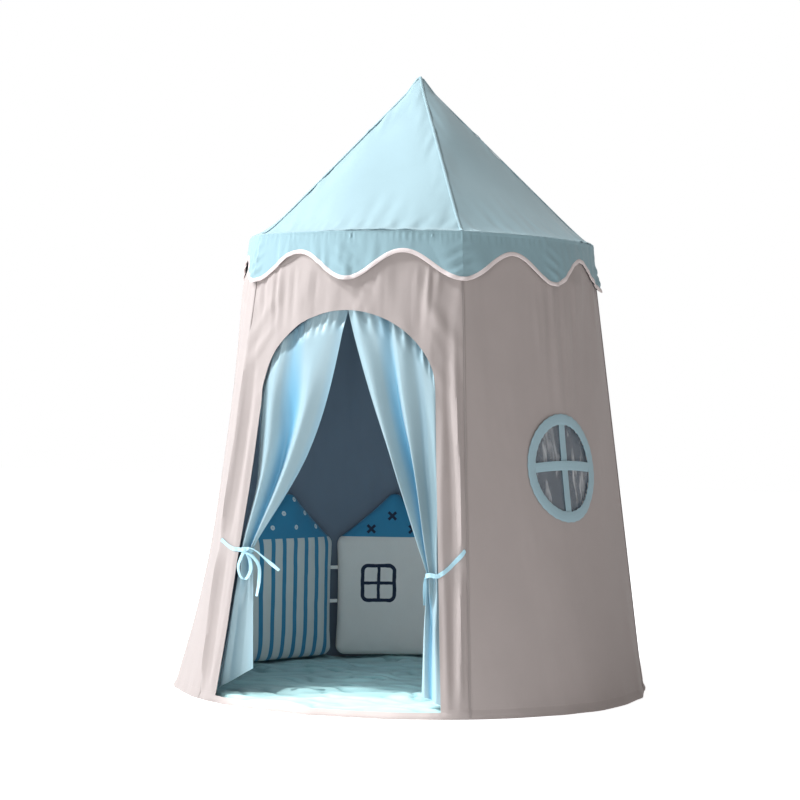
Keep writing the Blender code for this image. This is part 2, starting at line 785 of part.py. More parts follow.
def roof_panel(index):
    rows = [EAVE_OUTER_RADIUS * (1 - share) for share in ROOF_ROW_SHARES]
    rows += [ROOF_TIP_RADIUS, ROOF_TIP_RADIUS / 2, ROOF_HOLE_RADIUS]
    steep = math.hypot(1, ROOF_SLOPE)

    def point(i, j, lift):
        """The lift goes straight in at the eave and square to the slope above it."""
        radius = rows[i]
        angle = (HALF_PANEL - seam_inset(radius)) * (2 * j / ROOF_COLUMNS - 1)
        share = 1 - radius / EAVE_OUTER_RADIUS
        spread = radius * panel_share(angle, roof_flatness(share))
        if i == 0:
            return polar(panel_angle(index) + angle, spread + lift, CREASE_HEIGHT + GAP)
        inward = min(-lift * ROOF_SLOPE / steep, radius / 2)
        down = -lift * steep - inward * ROOF_SLOPE
        return polar(panel_angle(index) + angle, spread - inward, roof_ridge_height(radius) - down)

    return sheet_from_rows(point, len(rows), ROOF_COLUMNS + 1)


def valance_edge_height(angle):
    """The height of the valance's scalloped edge at an angle from the panel's middle."""
    middle = (VALANCE_CREST_DROP + VALANCE_TROUGH_DROP) / 2
    swing = (VALANCE_TROUGH_DROP - VALANCE_CREST_DROP) / 2
    return CREASE_HEIGHT - middle - swing * math.cos(SCALLOPS_PER_PANEL * math.pi * angle / HALF_PANEL)


def binding_height(angle):
    """How tall the binding stands at an angle, measured straight up."""
    swing = (VALANCE_TROUGH_DROP - VALANCE_CREST_DROP) / 2
    wave = SCALLOPS_PER_PANEL * math.pi / HALF_PANEL
    slope = swing * wave * math.sin(wave * angle) / EAVE_OUTER_RADIUS
    return BINDING_WIDTH * math.hypot(1, slope)


def valance_radius(angle, height):
    """The valance's outer radius, which stands further off the wall the lower it hangs."""
    drop_share = (CREASE_HEIGHT - height) / VALANCE_TROUGH_DROP
    at_seam = EAVE_OUTER_RADIUS + wall_seam_radius(height) - wall_seam_radius(CREASE_HEIGHT)
    return at_seam * panel_share(angle, EAVE_FLATNESS_SHARE) + VALANCE_STAND_OFF * drop_share


def valance(index):
    def point(i, j, lift):
        share = 2 * j / VALANCE_COLUMNS - 1
        angle = share * (HALF_PANEL - seam_inset(EAVE_OUTER_RADIUS))
        low = valance_edge_height(angle) + binding_height(angle) + GAP
        height = blend(low, CREASE_HEIGHT, i / VALANCE_ROWS)
        return polar(panel_angle(index) + angle, valance_radius(angle, height) + lift, height)

    return sheet_from_rows(point, VALANCE_ROWS + 1, VALANCE_COLUMNS + 1)


def valance_binding():
    """The tape folded over the scalloped edge, all the way round."""
    proud = (BINDING_THICKNESS - CLOTH_THICKNESS) / 2
    count = PANEL_COUNT * VALANCE_COLUMNS
    sections = []
    for i in range(count):
        turn = 2 * math.pi * i / count - HALF_PANEL
        angle = (turn + HALF_PANEL) % PANEL_ANGLE - HALF_PANEL
        low = valance_edge_height(angle)
        high = low + binding_height(angle)
        section = []
        for height, lift in ((low, 0), (low, 1), (high, 1), (high, 0)):
            radius = valance_radius(angle, height) + proud - BINDING_THICKNESS * lift
            section.append(polar(turn, radius, height))
        sections.append(section)
    return swept(sections, closed=True)


# Curtains and ties

def wall_outward(angle, height):
    """The level outward direction of the front wall at an angle from the door's middle."""
    step = HALF_PANEL / WALL_COLUMNS
    ahead = wall_point(DOOR_PANEL, angle + step, height)
    behind = wall_point(DOOR_PANEL, angle - step, height)
    along = (ahead - behind).normalized()
    return Vector((along.y, -along.x, 0)).normalized()


def tie_line_lift():
    """How far the middle of a tie's tape lies off the jamb's cloth."""
    row_height = (ARCH_SPRING_HEIGHT - THRESHOLD_HEIGHT) / JAMB_ROWS
    return row_bulge(jamb_angle(TIE_SEAM_HEIGHT), row_height) + GAP + TIE_THICKNESS / 2


def tie_ring_radius():
    return CURTAIN_WAIST_RADIUS + TIE_CLEARANCE + TIE_THICKNESS / 2


def waist_centre(height):
    """The middle of the right curtain's waist, which the tie draws in beside the jamb."""
    angle = jamb_angle(height)
    outward = wall_outward(angle, height)
    inward_to_door = Vector((outward.y, -outward.x, 0))
    start = wall_point(DOOR_PANEL, angle, height) + outward * tie_line_lift()
    ring = tie_ring_radius()
    outer = ring + TIE_THICKNESS / 2
    depth = ring - tie_line_lift() - CLOTH_THICKNESS - TIE_THICKNESS / 2
    lead = math.sqrt(max(outer * outer - depth * depth, 0)) + GAP + TIE_CLEARANCE
    return start + inward_to_door * lead - outward * ring


def curtain_pivot(side, waist_height):
    """The middle of a curtain's waist. It swings about the line from here to the header's outer corner."""
    waist = waist_centre(waist_height)
    return Vector((side * waist.x, waist.y, waist.z))


def curtain_depth_limit(x, height):
    """The y of the front wall's inner face, with room for its facets."""
    angle = math.asin(min(max(x / wall_seam_radius(height), -1), 1))
    angle = math.asin(min(max(x / wall_radius(angle, height), -1), 1))
    sag = WALL_BASE_RADIUS * column_sag_share(WALL_COLUMNS)
    return -(wall_radius(angle, height) - CLOTH_THICKNESS - sag - GAP) * math.cos(angle)


def curtain_fold_share(u):
    """How far back the cloth lies in its folds, from 0 in front to 1."""
    return (1 - math.cos(2 * math.pi * CURTAIN_FOLDS * u)) / 2


def curtain_tail(u, v, waist, half_band, tail):
    """A point of the cloth below the tie and how open it hangs: u runs to the jamb, v runs down."""
    tail_lift, inner_spread, outer_spread, lean = tail
    opening = eased(min(1, v / TAIL_OPENING_SHARE))
    waist_x = waist.x - CURTAIN_WAIST_RADIUS * math.cos(math.pi * u)
    foot_x = waist.x + blend(-CURTAIN_WAIST_RADIUS - inner_spread, outer_spread, u)
    hem = MAT_THICKNESS + CURTAIN_MAT_CLEARANCE + tail_lift * (1 - u)
    centred_fold = curtain_fold_share(u) - curtain_fold_share(0.5 / CURTAIN_FOLDS) / 2
    x = blend(waist_x, foot_x, v)
    y = waist.y - lean * u * v + CURTAIN_TAIL_FOLD_DEPTH * centred_fold * opening
    return Vector((x, y, blend(waist.z - half_band, hem, v))), opening


def curtain_head(u, v, waist, half_band, edge_bow):
    """A point of the cloth above the tie and how open it hangs: u runs to the jamb, v up to the arch."""
    opening = eased(min(1, v / HEAD_OPENING_SHARE))
    waist_x = waist.x - CURTAIN_WAIST_RADIUS * math.cos(math.pi * u)
    turn = math.pi / 2 * (1 - u)
    head_z = ARCH_SPRING_HEIGHT + (ARCH_RISE + CURTAIN_HEADER_TUCK) * math.sin(turn)
    jamb = jamb_angle(head_z)
    half_width = wall_radius(jamb, head_z) * math.sin(jamb) + CURTAIN_HEADER_TUCK
    head_x = max(half_width * math.cos(turn), GAP)
    fold_depth = blend(CURTAIN_FOLD_DEPTH, CURTAIN_HEADER_FOLD_DEPTH, v)
    edge_reach = max(0, waist_x - waist.x) * (1 - v) * opening
    x = blend(waist_x, head_x, v) - edge_bow * (1 - u) * math.sin(math.pi * v)
    y = blend(waist.y, curtain_depth_limit(head_x, head_z), v) + fold_depth * curtain_fold_share(u) * opening
    y += CURTAIN_EDGE_SET_BACK_SHARE * edge_reach
    return Vector((x, y, blend(waist.z + half_band, head_z, v))), opening


def curtain(side, waist_height, edge_bow, tail):
    """A tied curtain, as one closed sheet that is drawn in round at its waist."""
    waist = waist_centre(waist_height)
    half_band = TIE_WIDTH / 2 + TIE_CLEARANCE
    shares = [i / CURTAIN_COLUMNS for i in range(CURTAIN_COLUMNS + 1)]
    rows = []
    for i in range(CURTAIN_TAIL_ROWS, -1, -1):
        rows.append([curtain_tail(u, i / CURTAIN_TAIL_ROWS, waist, half_band, tail) for u in shares])
    for i in range(CURTAIN_HEAD_ROWS + 1):
        rows.append([curtain_head(u, i / CURTAIN_HEAD_ROWS, waist, half_band, edge_bow) for u in shares])
    outer, inner = [], []
    for row in rows:
        for u, (middle, opening) in zip(shares, row):
            half_depth = max(CURTAIN_WAIST_RADIUS * math.sin(math.pi * u), CURTAIN_THICKNESS / 2)
            front = middle - Vector((0, half_depth * (1 - opening), 0))
            back = front + Vector((0, blend(2 * half_depth, CURTAIN_THICKNESS, opening), 0))
            outer.append(Vector((side * front.x, front.y, front.z)))
            inner.append(Vector((side * back.x, back.y, back.z)))
    faces = grid_faces(len(rows), len(shares))
    if side < 0:
        faces = [tuple(reversed(face)) for face in faces]
    return closed_sheet(outer, inner, faces)


def wall_upward(angle, height):
    """The direction straight up the front wall's cloth."""
    step = TIE_WIDTH / 2
    above = wall_point(DOOR_PANEL, angle, height + step)
    return (above - wall_point(DOOR_PANEL, angle, height - step)).normalized()


def tape(path, width_ways, width, thickness):
    """A flat tape along a path, with its width direction given at each point."""
    sections = []
    for i, centre in enumerate(path):
        ahead = path[min(i + 1, len(path) - 1)] - path[max(i - 1, 0)]
        along = ahead.normalized()
        wide = (width_ways[i] - along * width_ways[i].dot(along)).normalized() * (width / 2)
        thick = along.cross(wide).normalized() * (thickness / 2)
        sections.append([centre - wide - thick, centre + wide - thick, centre + wide + thick, centre - wide + thick])
    return swept(sections)


def tie_strap(waist_height):
    """The tape from the seam right of the door, across the jamb and round the curtain's waist."""
    start_angle = wall_edge_angle(TIE_SEAM_HEIGHT) - TIE_WIDTH / 2 / WALL_BASE_RADIUS
    end_angle = jamb_angle(waist_height)
    path, width_ways = [], []
    for i in range(TIE_STRAP_STEPS + 1):
        share = i / TIE_STRAP_STEPS
        height = blend(TIE_SEAM_HEIGHT, waist_height, share)
        angle = blend(start_angle, end_angle, share)
        lift = wall_outward(angle, height) * tie_line_lift()
        path.append(wall_point(DOOR_PANEL, angle, height) + lift)
        width_ways.append(wall_upward(angle, height))
    centre = waist_centre(waist_height)
    outward = wall_outward(end_angle, waist_height)
    start_turn = math.atan2(outward.y, outward.x)
    for i in range(TIE_WRAP_STEPS + 1):
        turn = start_turn - TIE_WRAP_ANGLE * i / TIE_WRAP_STEPS
        path.append(centre + Vector((math.cos(turn), math.sin(turn), 0)) * tie_ring_radius())
        width_ways.append(Vector((0, 0, 1)))
    return tape(path, width_ways, TIE_WIDTH, TIE_THICKNESS)


def knot(centre, outward):
    along = Vector((-outward.y, outward.x, 0))
    frame = Matrix((along, outward, Vector((0, 0, 1)))).transposed().to_4x4()
    size = Matrix.Diagonal((KNOT_LENGTH / 2, KNOT_DEPTH / 2, KNOT_HEIGHT / 2, 1))
    work = bmesh.new()
    bmesh.ops.create_uvsphere(work, u_segments=KNOT_SIDES, v_segments=KNOT_ROWS, radius=1)
    bmesh.ops.transform(work, matrix=Matrix.Translation(centre) @ frame @ size, verts=work.verts)
    mesh = bpy.data.meshes.new("knot")
    work.to_mesh(mesh)
    work.free()
    return mesh


def mirrored(mesh):
    """The same mesh on the other side of the door."""
    mesh.transform(Matrix.Diagonal((-1, 1, 1, 1)))
    mesh.flip_normals()
    return mesh


def knot_place(waist_height, turn_back):
    """A knot's middle on the tie's ring, a turn back from where the strap meets it."""
    outward = wall_outward(jamb_angle(waist_height), waist_height)
    outward = Matrix.Rotation(-turn_back, 3, "Z") @ outward
    lift = KNOT_DEPTH / 2 - TIE_THICKNESS / 3
    return waist_centre(waist_height) + outward * (tie_ring_radius() + lift), outward


def right_tie():
    """The tie round the right curtain, knotted on its hidden side with two short tails."""
    centre, outward = knot_place(RIGHT_WAIST_HEIGHT, RIGHT_KNOT_TURN)
    along = Vector((-outward.y, outward.x, 0))
    steps = [("UNION", knot(centre, outward))]
    for side in (-1, 1):
        path = [
            centre + along * (side * KNOT_LENGTH / 4) + outward * (KNOT_DEPTH / 8),
            centre + along * (side * KNOT_LENGTH / 2) + outward * KNOT_DEPTH - Vector((0, 0, KNOT_HEIGHT)),
            centre + along * (side * KNOT_LENGTH / 2) + outward * KNOT_DEPTH - Vector((0, 0, KNOT_TAIL_DROP)),
        ]
        steps.append(("UNION", tape(path, [along] * len(path), TAIL_TAPE_WIDTH, TAIL_TAPE_THICKNESS)))
    return combined(tie_strap(RIGHT_WAIST_HEIGHT), steps)


def left_tie():
    """The tie round the left curtain, with a bow loop and two tails in front."""
    centre, outward = knot_place(LEFT_WAIST_HEIGHT, LEFT_KNOT_TURN)
    inward_to_door = Vector((outward.y, -outward.x, 0))
    down = Vector((0, 0, -1))
    strips = (
        (BOW_LOOP_SHARES, BOW_LOOP_WIDTH, BOW_LOOP_LENGTH),
        (BOW_LONG_TAIL_SHARES, BOW_TAIL_REACH, BOW_TAIL_DROP),
        (BOW_HANGING_TAIL_SHARES, BOW_TAIL_REACH, BOW_TAIL_DROP),
    )
    steps = [("UNION", knot(centre, outward))]
    for stand_off_share, (shares, width, length) in zip(BOW_STAND_OFF_SHARES, strips):
        start = centre + outward * (KNOT_DEPTH * stand_off_share)
        path = [start + inward_to_door * (across * width) + down * (drop * length) for across, drop in shares]
        steps.append(("UNION", tape(path, [outward] * len(path), TAIL_TAPE_WIDTH, TAIL_TAPE_THICKNESS)))
    return mirrored(combined(tie_strap(LEFT_WAIST_HEIGHT), steps))


# Mat and cushions

def mat_radius():
    """The mat reaches to the base connectors at the height where its edge is widest."""
    slant = math.cos(math.atan(WALL_SLOPE))
    beside = post_axis((MAT_THICKNESS - MAT_EDGE_DROP) / 2)
    return math.hypot(beside.x, beside.y) - POST_SOCKET_RADIUS / slant - GAP * 2


def floor_mat():
    """A round quilted mat with sewn channels across it, flat underneath."""
    radius = mat_radius()
    rim_height = MAT_THICKNESS - MAT_EDGE_DROP
    levels = ((radius - MAT_EDGE_INSET, 0.0), (radius, rim_height / 2), (radius - MAT_EDGE_INSET, rim_height))
    step = 2 * math.pi / MAT_SIDES
    mesh = swept([[polar(i * step, r, z) for i in range(MAT_SIDES)] for r, z in levels])
    work = bmesh.new()
    work.from_mesh(mesh)
    top = [face for face in work.faces if face.calc_center_median().z > rim_height - GAP]
    line_pitch = MAT_CHANNEL_PITCH / 2
    line_count = int(levels[-1][0] / line_pitch)
    for number in range(-line_count, line_count + 1):
        edges = {edge for face in top for edge in face.edges}
        corners = {vert for face in top for vert in face.verts}
        cut = bmesh.ops.bisect_plane(
            work,
            geom=top + list(edges) + list(corners),
            dist=GAP / 10,
            plane_co=(0, number * line_pitch, 0),
            plane_no=(0, 1, 0),
        )
        top = [item for item in cut["geom"] if isinstance(item, bmesh.types.BMFace)]
    lines = [edge for face in top for edge in face.edges if is_mat_line(edge)]
    pieces = bmesh.ops.subdivide_edges(work, edges=list(set(lines)), cuts=MAT_LINE_CUTS)
    for vert in [item for item in pieces["geom_inner"] if isinstance(item, bmesh.types.BMVert)]:
        on_crest = round(vert.co.y / line_pitch) % 2 == 0
        from_edge = radius - math.hypot(vert.co.x, vert.co.y)
        slope = MAT_EDGE_DROP / 2 * max(0, 1 - from_edge / MAT_SLOPE_WIDTH)
        vert.co.z = MAT_THICKNESS - slope - (0 if on_crest else MAT_CHANNEL_DEPTH)
    bmesh.ops.triangulate(work, faces=[face for face in work.faces if len(face.verts) > 4 or face in top])
    work.to_mesh(mesh)
    work.free()
    face_outwards(mesh)
    return mesh


def is_mat_line(edge):
    """Whether an edge of the mat's top runs along a crest or a channel."""
    start, end = (vert.co for vert in edge.verts)
    return abs(start.y - end.y) < GAP and (start - end).length > MAT_SLOPE_WIDTH


def house_outline():
    """The house's outline from its bottom left corner, with rounded corners and drawn-in sides."""
    half = CUSHION_WIDTH / 2
    top = CUSHION_BODY_HEIGHT + CUSHION_GABLE_HEIGHT
    corners = [(-half, 0), (half, 0), (half, CUSHION_BODY_HEIGHT), (0, top), (-half, CUSHION_BODY_HEIGHT)]
    corners = [Vector(corner) for corner in corners]
    outline = []
    for i, corner in enumerate(corners):
        following = corners[(i + 1) % len(corners)]
        before = (corners[i - 1] - corner).normalized()
        after = (following - corner).normalized()
        opening = before.angle(after)
        back = CUSHION_CORNER_RADIUS / math.tan(opening / 2)
        cut_in = CUSHION_CORNER_RADIUS * (1 / math.sin(opening / 2) - 1)
        outline += [corner + before * back, corner + (before + after).normalized() * cut_in, corner + after * back]
        inward = Vector((-after.y, after.x))
        draw = 0 if i == 0 else CUSHION_SIDE_DRAW
        for k in range(1, CUSHION_EDGE_STEPS):
            share = k / CUSHION_EDGE_STEPS
            outline.append(corner.lerp(following, share) + inward * (draw * math.sin(math.pi * share)))
    return outline


def house_cushion(centre_angle):
    """A stuffed house-shaped cushion, stood upright with its back to the wall."""
    outline = house_outline()
    middle = Vector((0, CUSHION_BODY_HEIGHT * CUSHION_MIDDLE_SHARE))
    origin = polar(centre_angle, cushion_distance(), MAT_THICKNESS + GAP)
    across = Vector((-math.cos(centre_angle), -math.sin(centre_angle), 0))
    inward = polar(centre_angle, -1, 0)
    up = Vector((0, 0, 1))
    levels = [(0.0, CUSHION_EDGE_THICKNESS / 2)]
    for share in CUSHION_RING_SHARES:
        crown = math.sqrt(1 - (1 - share) ** CUSHION_CROWN_POWER)
        levels.append((share, blend(CUSHION_EDGE_THICKNESS, CUSHION_THICKNESS, crown) / 2))
    levels = [(share, -depth) for share, depth in reversed(levels)] + levels
    rings = []
    for share, depth in levels:
        flat = [point.lerp(middle, share) for point in outline]
        rings.append([origin + across * point.x + up * point.y + inward * depth for point in flat])
    return swept(rings)


def cushion_distance():
    """How far the cushions' middles stand from the axis, so that they clear the leaning wall."""
    top = MAT_THICKNESS + CUSHION_BODY_HEIGHT
    corner = wall_radius(0.0, top) - CLOTH_THICKNESS - CUSHION_WALL_CLEARANCE - CUSHION_EDGE_THICKNESS / 2
    gable = wall_radius(0.0, top + CUSHION_GABLE_HEIGHT / 2) - CLOTH_THICKNESS - CUSHION_WALL_CLEARANCE
    return min(math.sqrt(corner * corner - (CUSHION_WIDTH / 2) ** 2), gable - CUSHION_THICKNESS / 2)


def cushion_half_angle():
    return math.atan((CUSHION_WIDTH + CUSHION_SPACING) / 2 / cushion_distance())


def cushion_axis():
    """The point on the floor midway between the cushions' edges, about which one of them folds."""
    return polar(CUSHION_JOIN_ANGLE, cushion_distance() / math.cos(cushion_half_angle()), 0)


def cushion_tie(height):
    """A small tape that holds the cushions side by side."""
    distance = cushion_distance()
    half = cushion_half_angle()
    chord_sag = 1 - math.cos(math.pi / CUSHION_EDGE_STEPS / 2)
    inset = CUSHION_SIDE_DRAW * (math.sin(math.pi * height / CUSHION_BODY_HEIGHT) - chord_sag)
    ends = []
    for side in (1, -1):
        angle = CUSHION_JOIN_ANGLE + side * half
        across = Vector((math.cos(angle), math.sin(angle), 0)) * -side
        ends.append(polar(angle, distance, MAT_THICKNESS + height) + across * (CUSHION_WIDTH / 2 - inset))
    shorten = (ends[1] - ends[0]).normalized() * (GAP + CUSHION_TIE_THICKNESS / 2 * math.tan(half))
    path = [ends[0] + shorten, ends[1] - shorten]
    return tape(path, [Vector((0, 0, 1))] * 2, CUSHION_TIE_WIDTH, CUSHION_TIE_THICKNESS)


# The whole tent

def build():
    clear_scene()
    roof_cloth = material("roof_cloth", (0.46, 0.68, 0.73), 0.85)
    valance_cloth = material("valance_cloth", (0.36, 0.57, 0.61), 0.85)
    wall_cloth = material("wall_cloth", (0.36, 0.31, 0.30), 0.88)
    binding_cloth = material("binding_tape", (0.78, 0.68, 0.67), 0.80)
    curtain_cloth = material("curtain_cloth", (0.42, 0.70, 0.82), 0.60)
    tie_cloth = material("tie_tape", (0.52, 0.77, 0.86), 0.65)
    window_cloth = material("window_tape", (0.33, 0.58, 0.68), 0.75)
    clear_film = material("window_film", (0.75, 0.80, 0.82), 0.12, alpha=0.35)
    mat_cloth = material("mat_cloth", (0.38, 0.62, 0.64), 0.85)
    striped_cloth = material("striped_cushion_cloth", (0.20, 0.52, 0.68), 0.85)
    pale_cloth = material("pale_cushion_cloth", (0.66, 0.66, 0.63), 0.85)
    white_tape = material("cushion_tie_tape", (0.85, 0.85, 0.84), 0.80)
    pole_finish = material("pole_white", (0.80, 0.80, 0.78), 0.45)
    rod_finish = material("rod_grey", (0.55, 0.56, 0.57), 0.40)
    plastic = material("connector_plastic", (0.72, 0.73, 0.74), 0.50)

    one_post, one_rafter = post(), rafter()
    eave_fitting, base_fitting = eave_connector(), base_connector()
    for i in range(PANEL_COUNT):
        label = i + 1
        place(f"post_{label}", turned(one_post, i), pole_finish)
        place(f"rafter_{label}", turned(one_rafter, i), pole_finish)
        place(f"eave_hoop_rod_{label}", hoop_rod(EAVE_HOOP_RADIUS, EAVE_HEIGHT, i), rod_finish)
        place(f"base_hoop_rod_{label}", hoop_rod(BASE_HOOP_RADIUS, BASE_HOOP_HEIGHT, i), rod_finish)
        place(f"eave_connector_{label}", turned(eave_fitting, i), plastic)
        place(f"base_connector_{label}", turned(base_fitting, i), plastic)
    place("apex_hub", apex_hub(), plastic)

    for i, where in enumerate(PANEL_NAMES):
        place(f"roof_panel_{where}", roof_panel(i), roof_cloth)
        place(f"valance_{where}", valance(i), valance_cloth)
        if i == WINDOW_PANEL:
            wall = window_wall()
        elif i == DOOR_PANEL:
            wall = front_wall()
        else:
            wall = plain_wall(i)
        place(f"wall_panel_{where}", wall, wall_cloth)
    place("valance_binding", valance_binding(), binding_cloth)

    place("window_ring", window_ring(), window_cloth)
    place("window_muntins", window_muntins(), window_cloth)
    place("window_pane", window_pane(), clear_film)

    right_tail = (RIGHT_TAIL_LIFT, RIGHT_TAIL_INNER_SPREAD, RIGHT_TAIL_OUTER_SPREAD, RIGHT_TAIL_LEAN)
    left_tail = (LEFT_TAIL_LIFT, LEFT_TAIL_INNER_SPREAD, LEFT_TAIL_OUTER_SPREAD, LEFT_TAIL_LEAN)
    curtains = (
        ("right_curtain", 1, RIGHT_WAIST_HEIGHT, RIGHT_INNER_EDGE_BOW, right_tail),
        ("left_curtain", -1, LEFT_WAIST_HEIGHT, LEFT_INNER_EDGE_BOW, left_tail),
    )
    for name, side, waist_height, edge_bow, tail in curtains:
        mesh = curtain(side, waist_height, edge_bow, tail)
        place(name, mesh, curtain_cloth, curtain_pivot(side, waist_height))
    place("right_tie", right_tie(), tie_cloth)
    place("left_tie", left_tie(), tie_cloth)

    place("floor_mat", floor_mat(), mat_cloth)
    half = cushion_half_angle()
    place("striped_house_cushion", house_cushion(CUSHION_JOIN_ANGLE + half), striped_cloth)
    place("window_house_cushion", house_cushion(CUSHION_JOIN_ANGLE - half), pale_cloth, cushion_axis())
    for label, height in zip(("lower", "upper"), CUSHION_TIE_HEIGHTS):
        place(f"cushion_tie_{label}", cushion_tie(height), white_tape)


build()
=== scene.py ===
"""Dresses the play tent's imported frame: cloth, curtains, ties, mat and cushions, in metres, +Z up.

Angles are measured round the tent's axis from the door's middle, positive towards +X.
"""

import math

import bmesh
import bpy
import numpy as np
from mathutils import Matrix, Vector


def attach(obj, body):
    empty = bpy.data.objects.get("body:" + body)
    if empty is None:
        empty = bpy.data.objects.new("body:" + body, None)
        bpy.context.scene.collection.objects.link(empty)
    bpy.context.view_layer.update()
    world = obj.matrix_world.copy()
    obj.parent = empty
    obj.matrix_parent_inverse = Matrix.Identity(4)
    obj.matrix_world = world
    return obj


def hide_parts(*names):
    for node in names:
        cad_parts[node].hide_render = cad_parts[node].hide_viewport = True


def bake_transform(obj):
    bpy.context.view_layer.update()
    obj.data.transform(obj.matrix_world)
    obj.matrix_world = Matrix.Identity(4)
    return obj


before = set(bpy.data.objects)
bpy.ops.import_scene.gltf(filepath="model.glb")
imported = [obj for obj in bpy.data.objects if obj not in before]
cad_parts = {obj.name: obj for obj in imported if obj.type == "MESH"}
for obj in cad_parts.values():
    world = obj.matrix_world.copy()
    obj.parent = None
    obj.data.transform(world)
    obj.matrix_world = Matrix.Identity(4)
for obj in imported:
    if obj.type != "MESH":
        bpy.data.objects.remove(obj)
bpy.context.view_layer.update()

# Panels, counted round from the door
PANEL_NAMES = ("front", "right", "back_right", "back_left", "left")
PANEL_COUNT = len(PANEL_NAMES)
PANEL_ANGLE = 2 * math.pi / PANEL_COUNT
HALF_PANEL = PANEL_ANGLE / 2
GAP = 0.0003
CLOTH_THICKNESS = 0.0016
WALL_ROWS, WALL_COLUMNS = 132, 87
SHARP_ANGLE = math.radians(50)

# Wall, eave and roof, as the frame has them
WALL_BASE_RADIUS = 0.5975
WALL_TOP_HEIGHT = 1.1242
WALL_TOP_RADIUS = 0.44826
WALL_SLOPE = (WALL_BASE_RADIUS - WALL_TOP_RADIUS) / WALL_TOP_HEIGHT
WALL_FLATNESS = 0.40
EAVE_FLATNESS = 0.27
EAVE_FLATTENING_POWER = 4
CREASE_HEIGHT = 1.1355
APEX_HEIGHT = 1.572
EAVE_RADIUS = 0.4509
ROOF_FLATNESS = 0.62
ROOF_FLARE = 0.013
ROOF_FLARE_LENGTH = 0.020
TIP_RISE = 0.013
TIP_RADIUS = 0.040
ROOF_SLOPE = (APEX_HEIGHT - TIP_RISE - CREASE_HEIGHT + ROOF_FLARE) / EAVE_RADIUS
ROOF_SLANT = math.hypot(1, ROOF_SLOPE)

# Valance
CREST_DROP = 0.053
TROUGH_DROP = 0.119
SCALLOP_SWING = (TROUGH_DROP - CREST_DROP) / 2
VALANCE_STAND_OFF = 0.003
BINDING_WIDTH = 0.0105
BINDING_THICKNESS = 0.0042

# Tapes over the seams, as width and thickness
SEAM_TAPE = (0.0052, 0.0022)
RIDGE_TAPE = (0.0076, 0.0016)

# Doorway and window
JAMB_STRIP = 0.068
ARCH_SPRING = 0.760
ARCH_RISE = 0.185
THRESHOLD = 0.016
SEAM_TAPE_TOP = 1.052
WINDOW_HEIGHT = 0.575
WINDOW_RADIUS = 0.131
WINDOW_TAPE = 0.026
WINDOW_HOLE = 0.114
WINDOW_BAR_LEVEL = 0.0235
WINDOW_BAR_UPRIGHT = 0.0225
WINDOW_BAR_THICKNESS = 0.0015
FILM_THICKNESS = 0.0006

# Curtains and ties
WAIST_RADIUS = 0.015
TIE_WIDTH = 0.010
TIE_STAND_OFF = 0.0016
STRAP_WIDTH = 0.0105
STRAP_THICKNESS = 0.0013
STRAP_WRAP = math.radians(318)
STRAP_STEPS = 110
TAIL_WIDTH = 0.0085
TAIL_THICKNESS = 0.0012
TAIL_STEPS = 44
TIE_SEAM_HEIGHT = 0.385
RIGHT_WAIST = Vector((0.24496, -0.46369, 0.325))
LEFT_WAIST = Vector((-0.24145, -0.45815, 0.365))
CURTAIN_THICKNESS = 0.0012

# Mat
MAT_TOP = 0.020
MAT_RADIUS = 0.5754
MAT_CHANNEL = 0.068
MAT_RINGS, MAT_SIDES = 92, 300

# Cushions
CUSHION_WIDTH = 0.330
CUSHION_BODY = 0.325
CUSHION_GABLE = 0.145
CUSHION_SEAM_INSET = 0.005
CUSHION_EDGE_THICKNESS = 0.010
CUSHION_CROWN_POWER = 4
CUSHION_THICKNESS = 0.056
CUSHION_DISTANCE = 0.46949
CUSHION_JOIN_ANGLE = math.radians(-131.5)
CUSHION_HALF_ANGLE = math.radians(20.013)
CUSHION_CORNER_RADIUS = 0.026
CUSHION_SIDE_DRAW = 0.004
CUSHION_HALF_START = 0.021
CUSHION_VOXEL = 0.0075
CUSHION_MOST_PUFF = 0.006
CUSHION_TIE_HEIGHTS = (0.154, 0.247)
CUSHION_TAPE_WIDTH = 0.010
CUSHION_TAPE_THICKNESS = 0.0016
CUSHION_PRINT_LINE = 0.334


# Small helpers

def stack(*parts):
    """Coordinates as one array of points."""
    return np.stack(np.broadcast_arrays(*parts), -1)


def polar(angle, radius, height):
    return stack(radius * np.sin(angle), -radius * np.cos(angle), height)


def blend(start, end, share):
    return start + (end - start) * share


def eased(share):
    share = np.clip(share, 0, 1)
    return share * share * (3 - 2 * share)


def bump(x, middle, width):
    return np.exp(-(((x - middle) / width) ** 2))


def soft_floor(depth, limit):
    """Keeps what lies inwards from going deeper than a limit."""
    return np.where(depth < 0, limit * np.tanh(depth / limit), depth)


def full_turn(steps):
    return np.linspace(0, 2 * math.pi, steps, endpoint=False)


def ring_turns(count):
    """Turns round a section, none of them straight along its axes."""
    return [2 * math.pi * (k + 0.5) / count for k in range(count)]


def soft_section(count, side_power, face_power):
    """The outline of a flat section with rounded edges, one unit wide and one thick."""
    points = []
    for turn in ring_turns(count):
        c, s = math.cos(turn), math.sin(turn)
        side, face = abs(c) ** side_power, abs(s) ** face_power
        points.append((math.copysign(side, c) / 2, math.copysign(face, s) / 2))
    return np.array(points)


def ripples(seed, shortest, longest, stretch=1.0, count=14):
    """A smooth field of about unit height over (x, y), longer along y by stretch."""
    draw = np.random.default_rng(seed)
    lengths = draw.uniform(shortest, longest, count)
    turns = draw.uniform(-0.5, 0.5, count) * math.pi
    phases = draw.uniform(0, 2 * math.pi, count)

    def field(x, y):
        total = 0
        for length, turn, phase in zip(lengths, turns, phases):
            way = x * math.cos(turn) + y * math.sin(turn) / stretch
            total = total + np.sin(2 * math.pi / length * way + phase)
        return total / math.sqrt(count / 2)

    return field


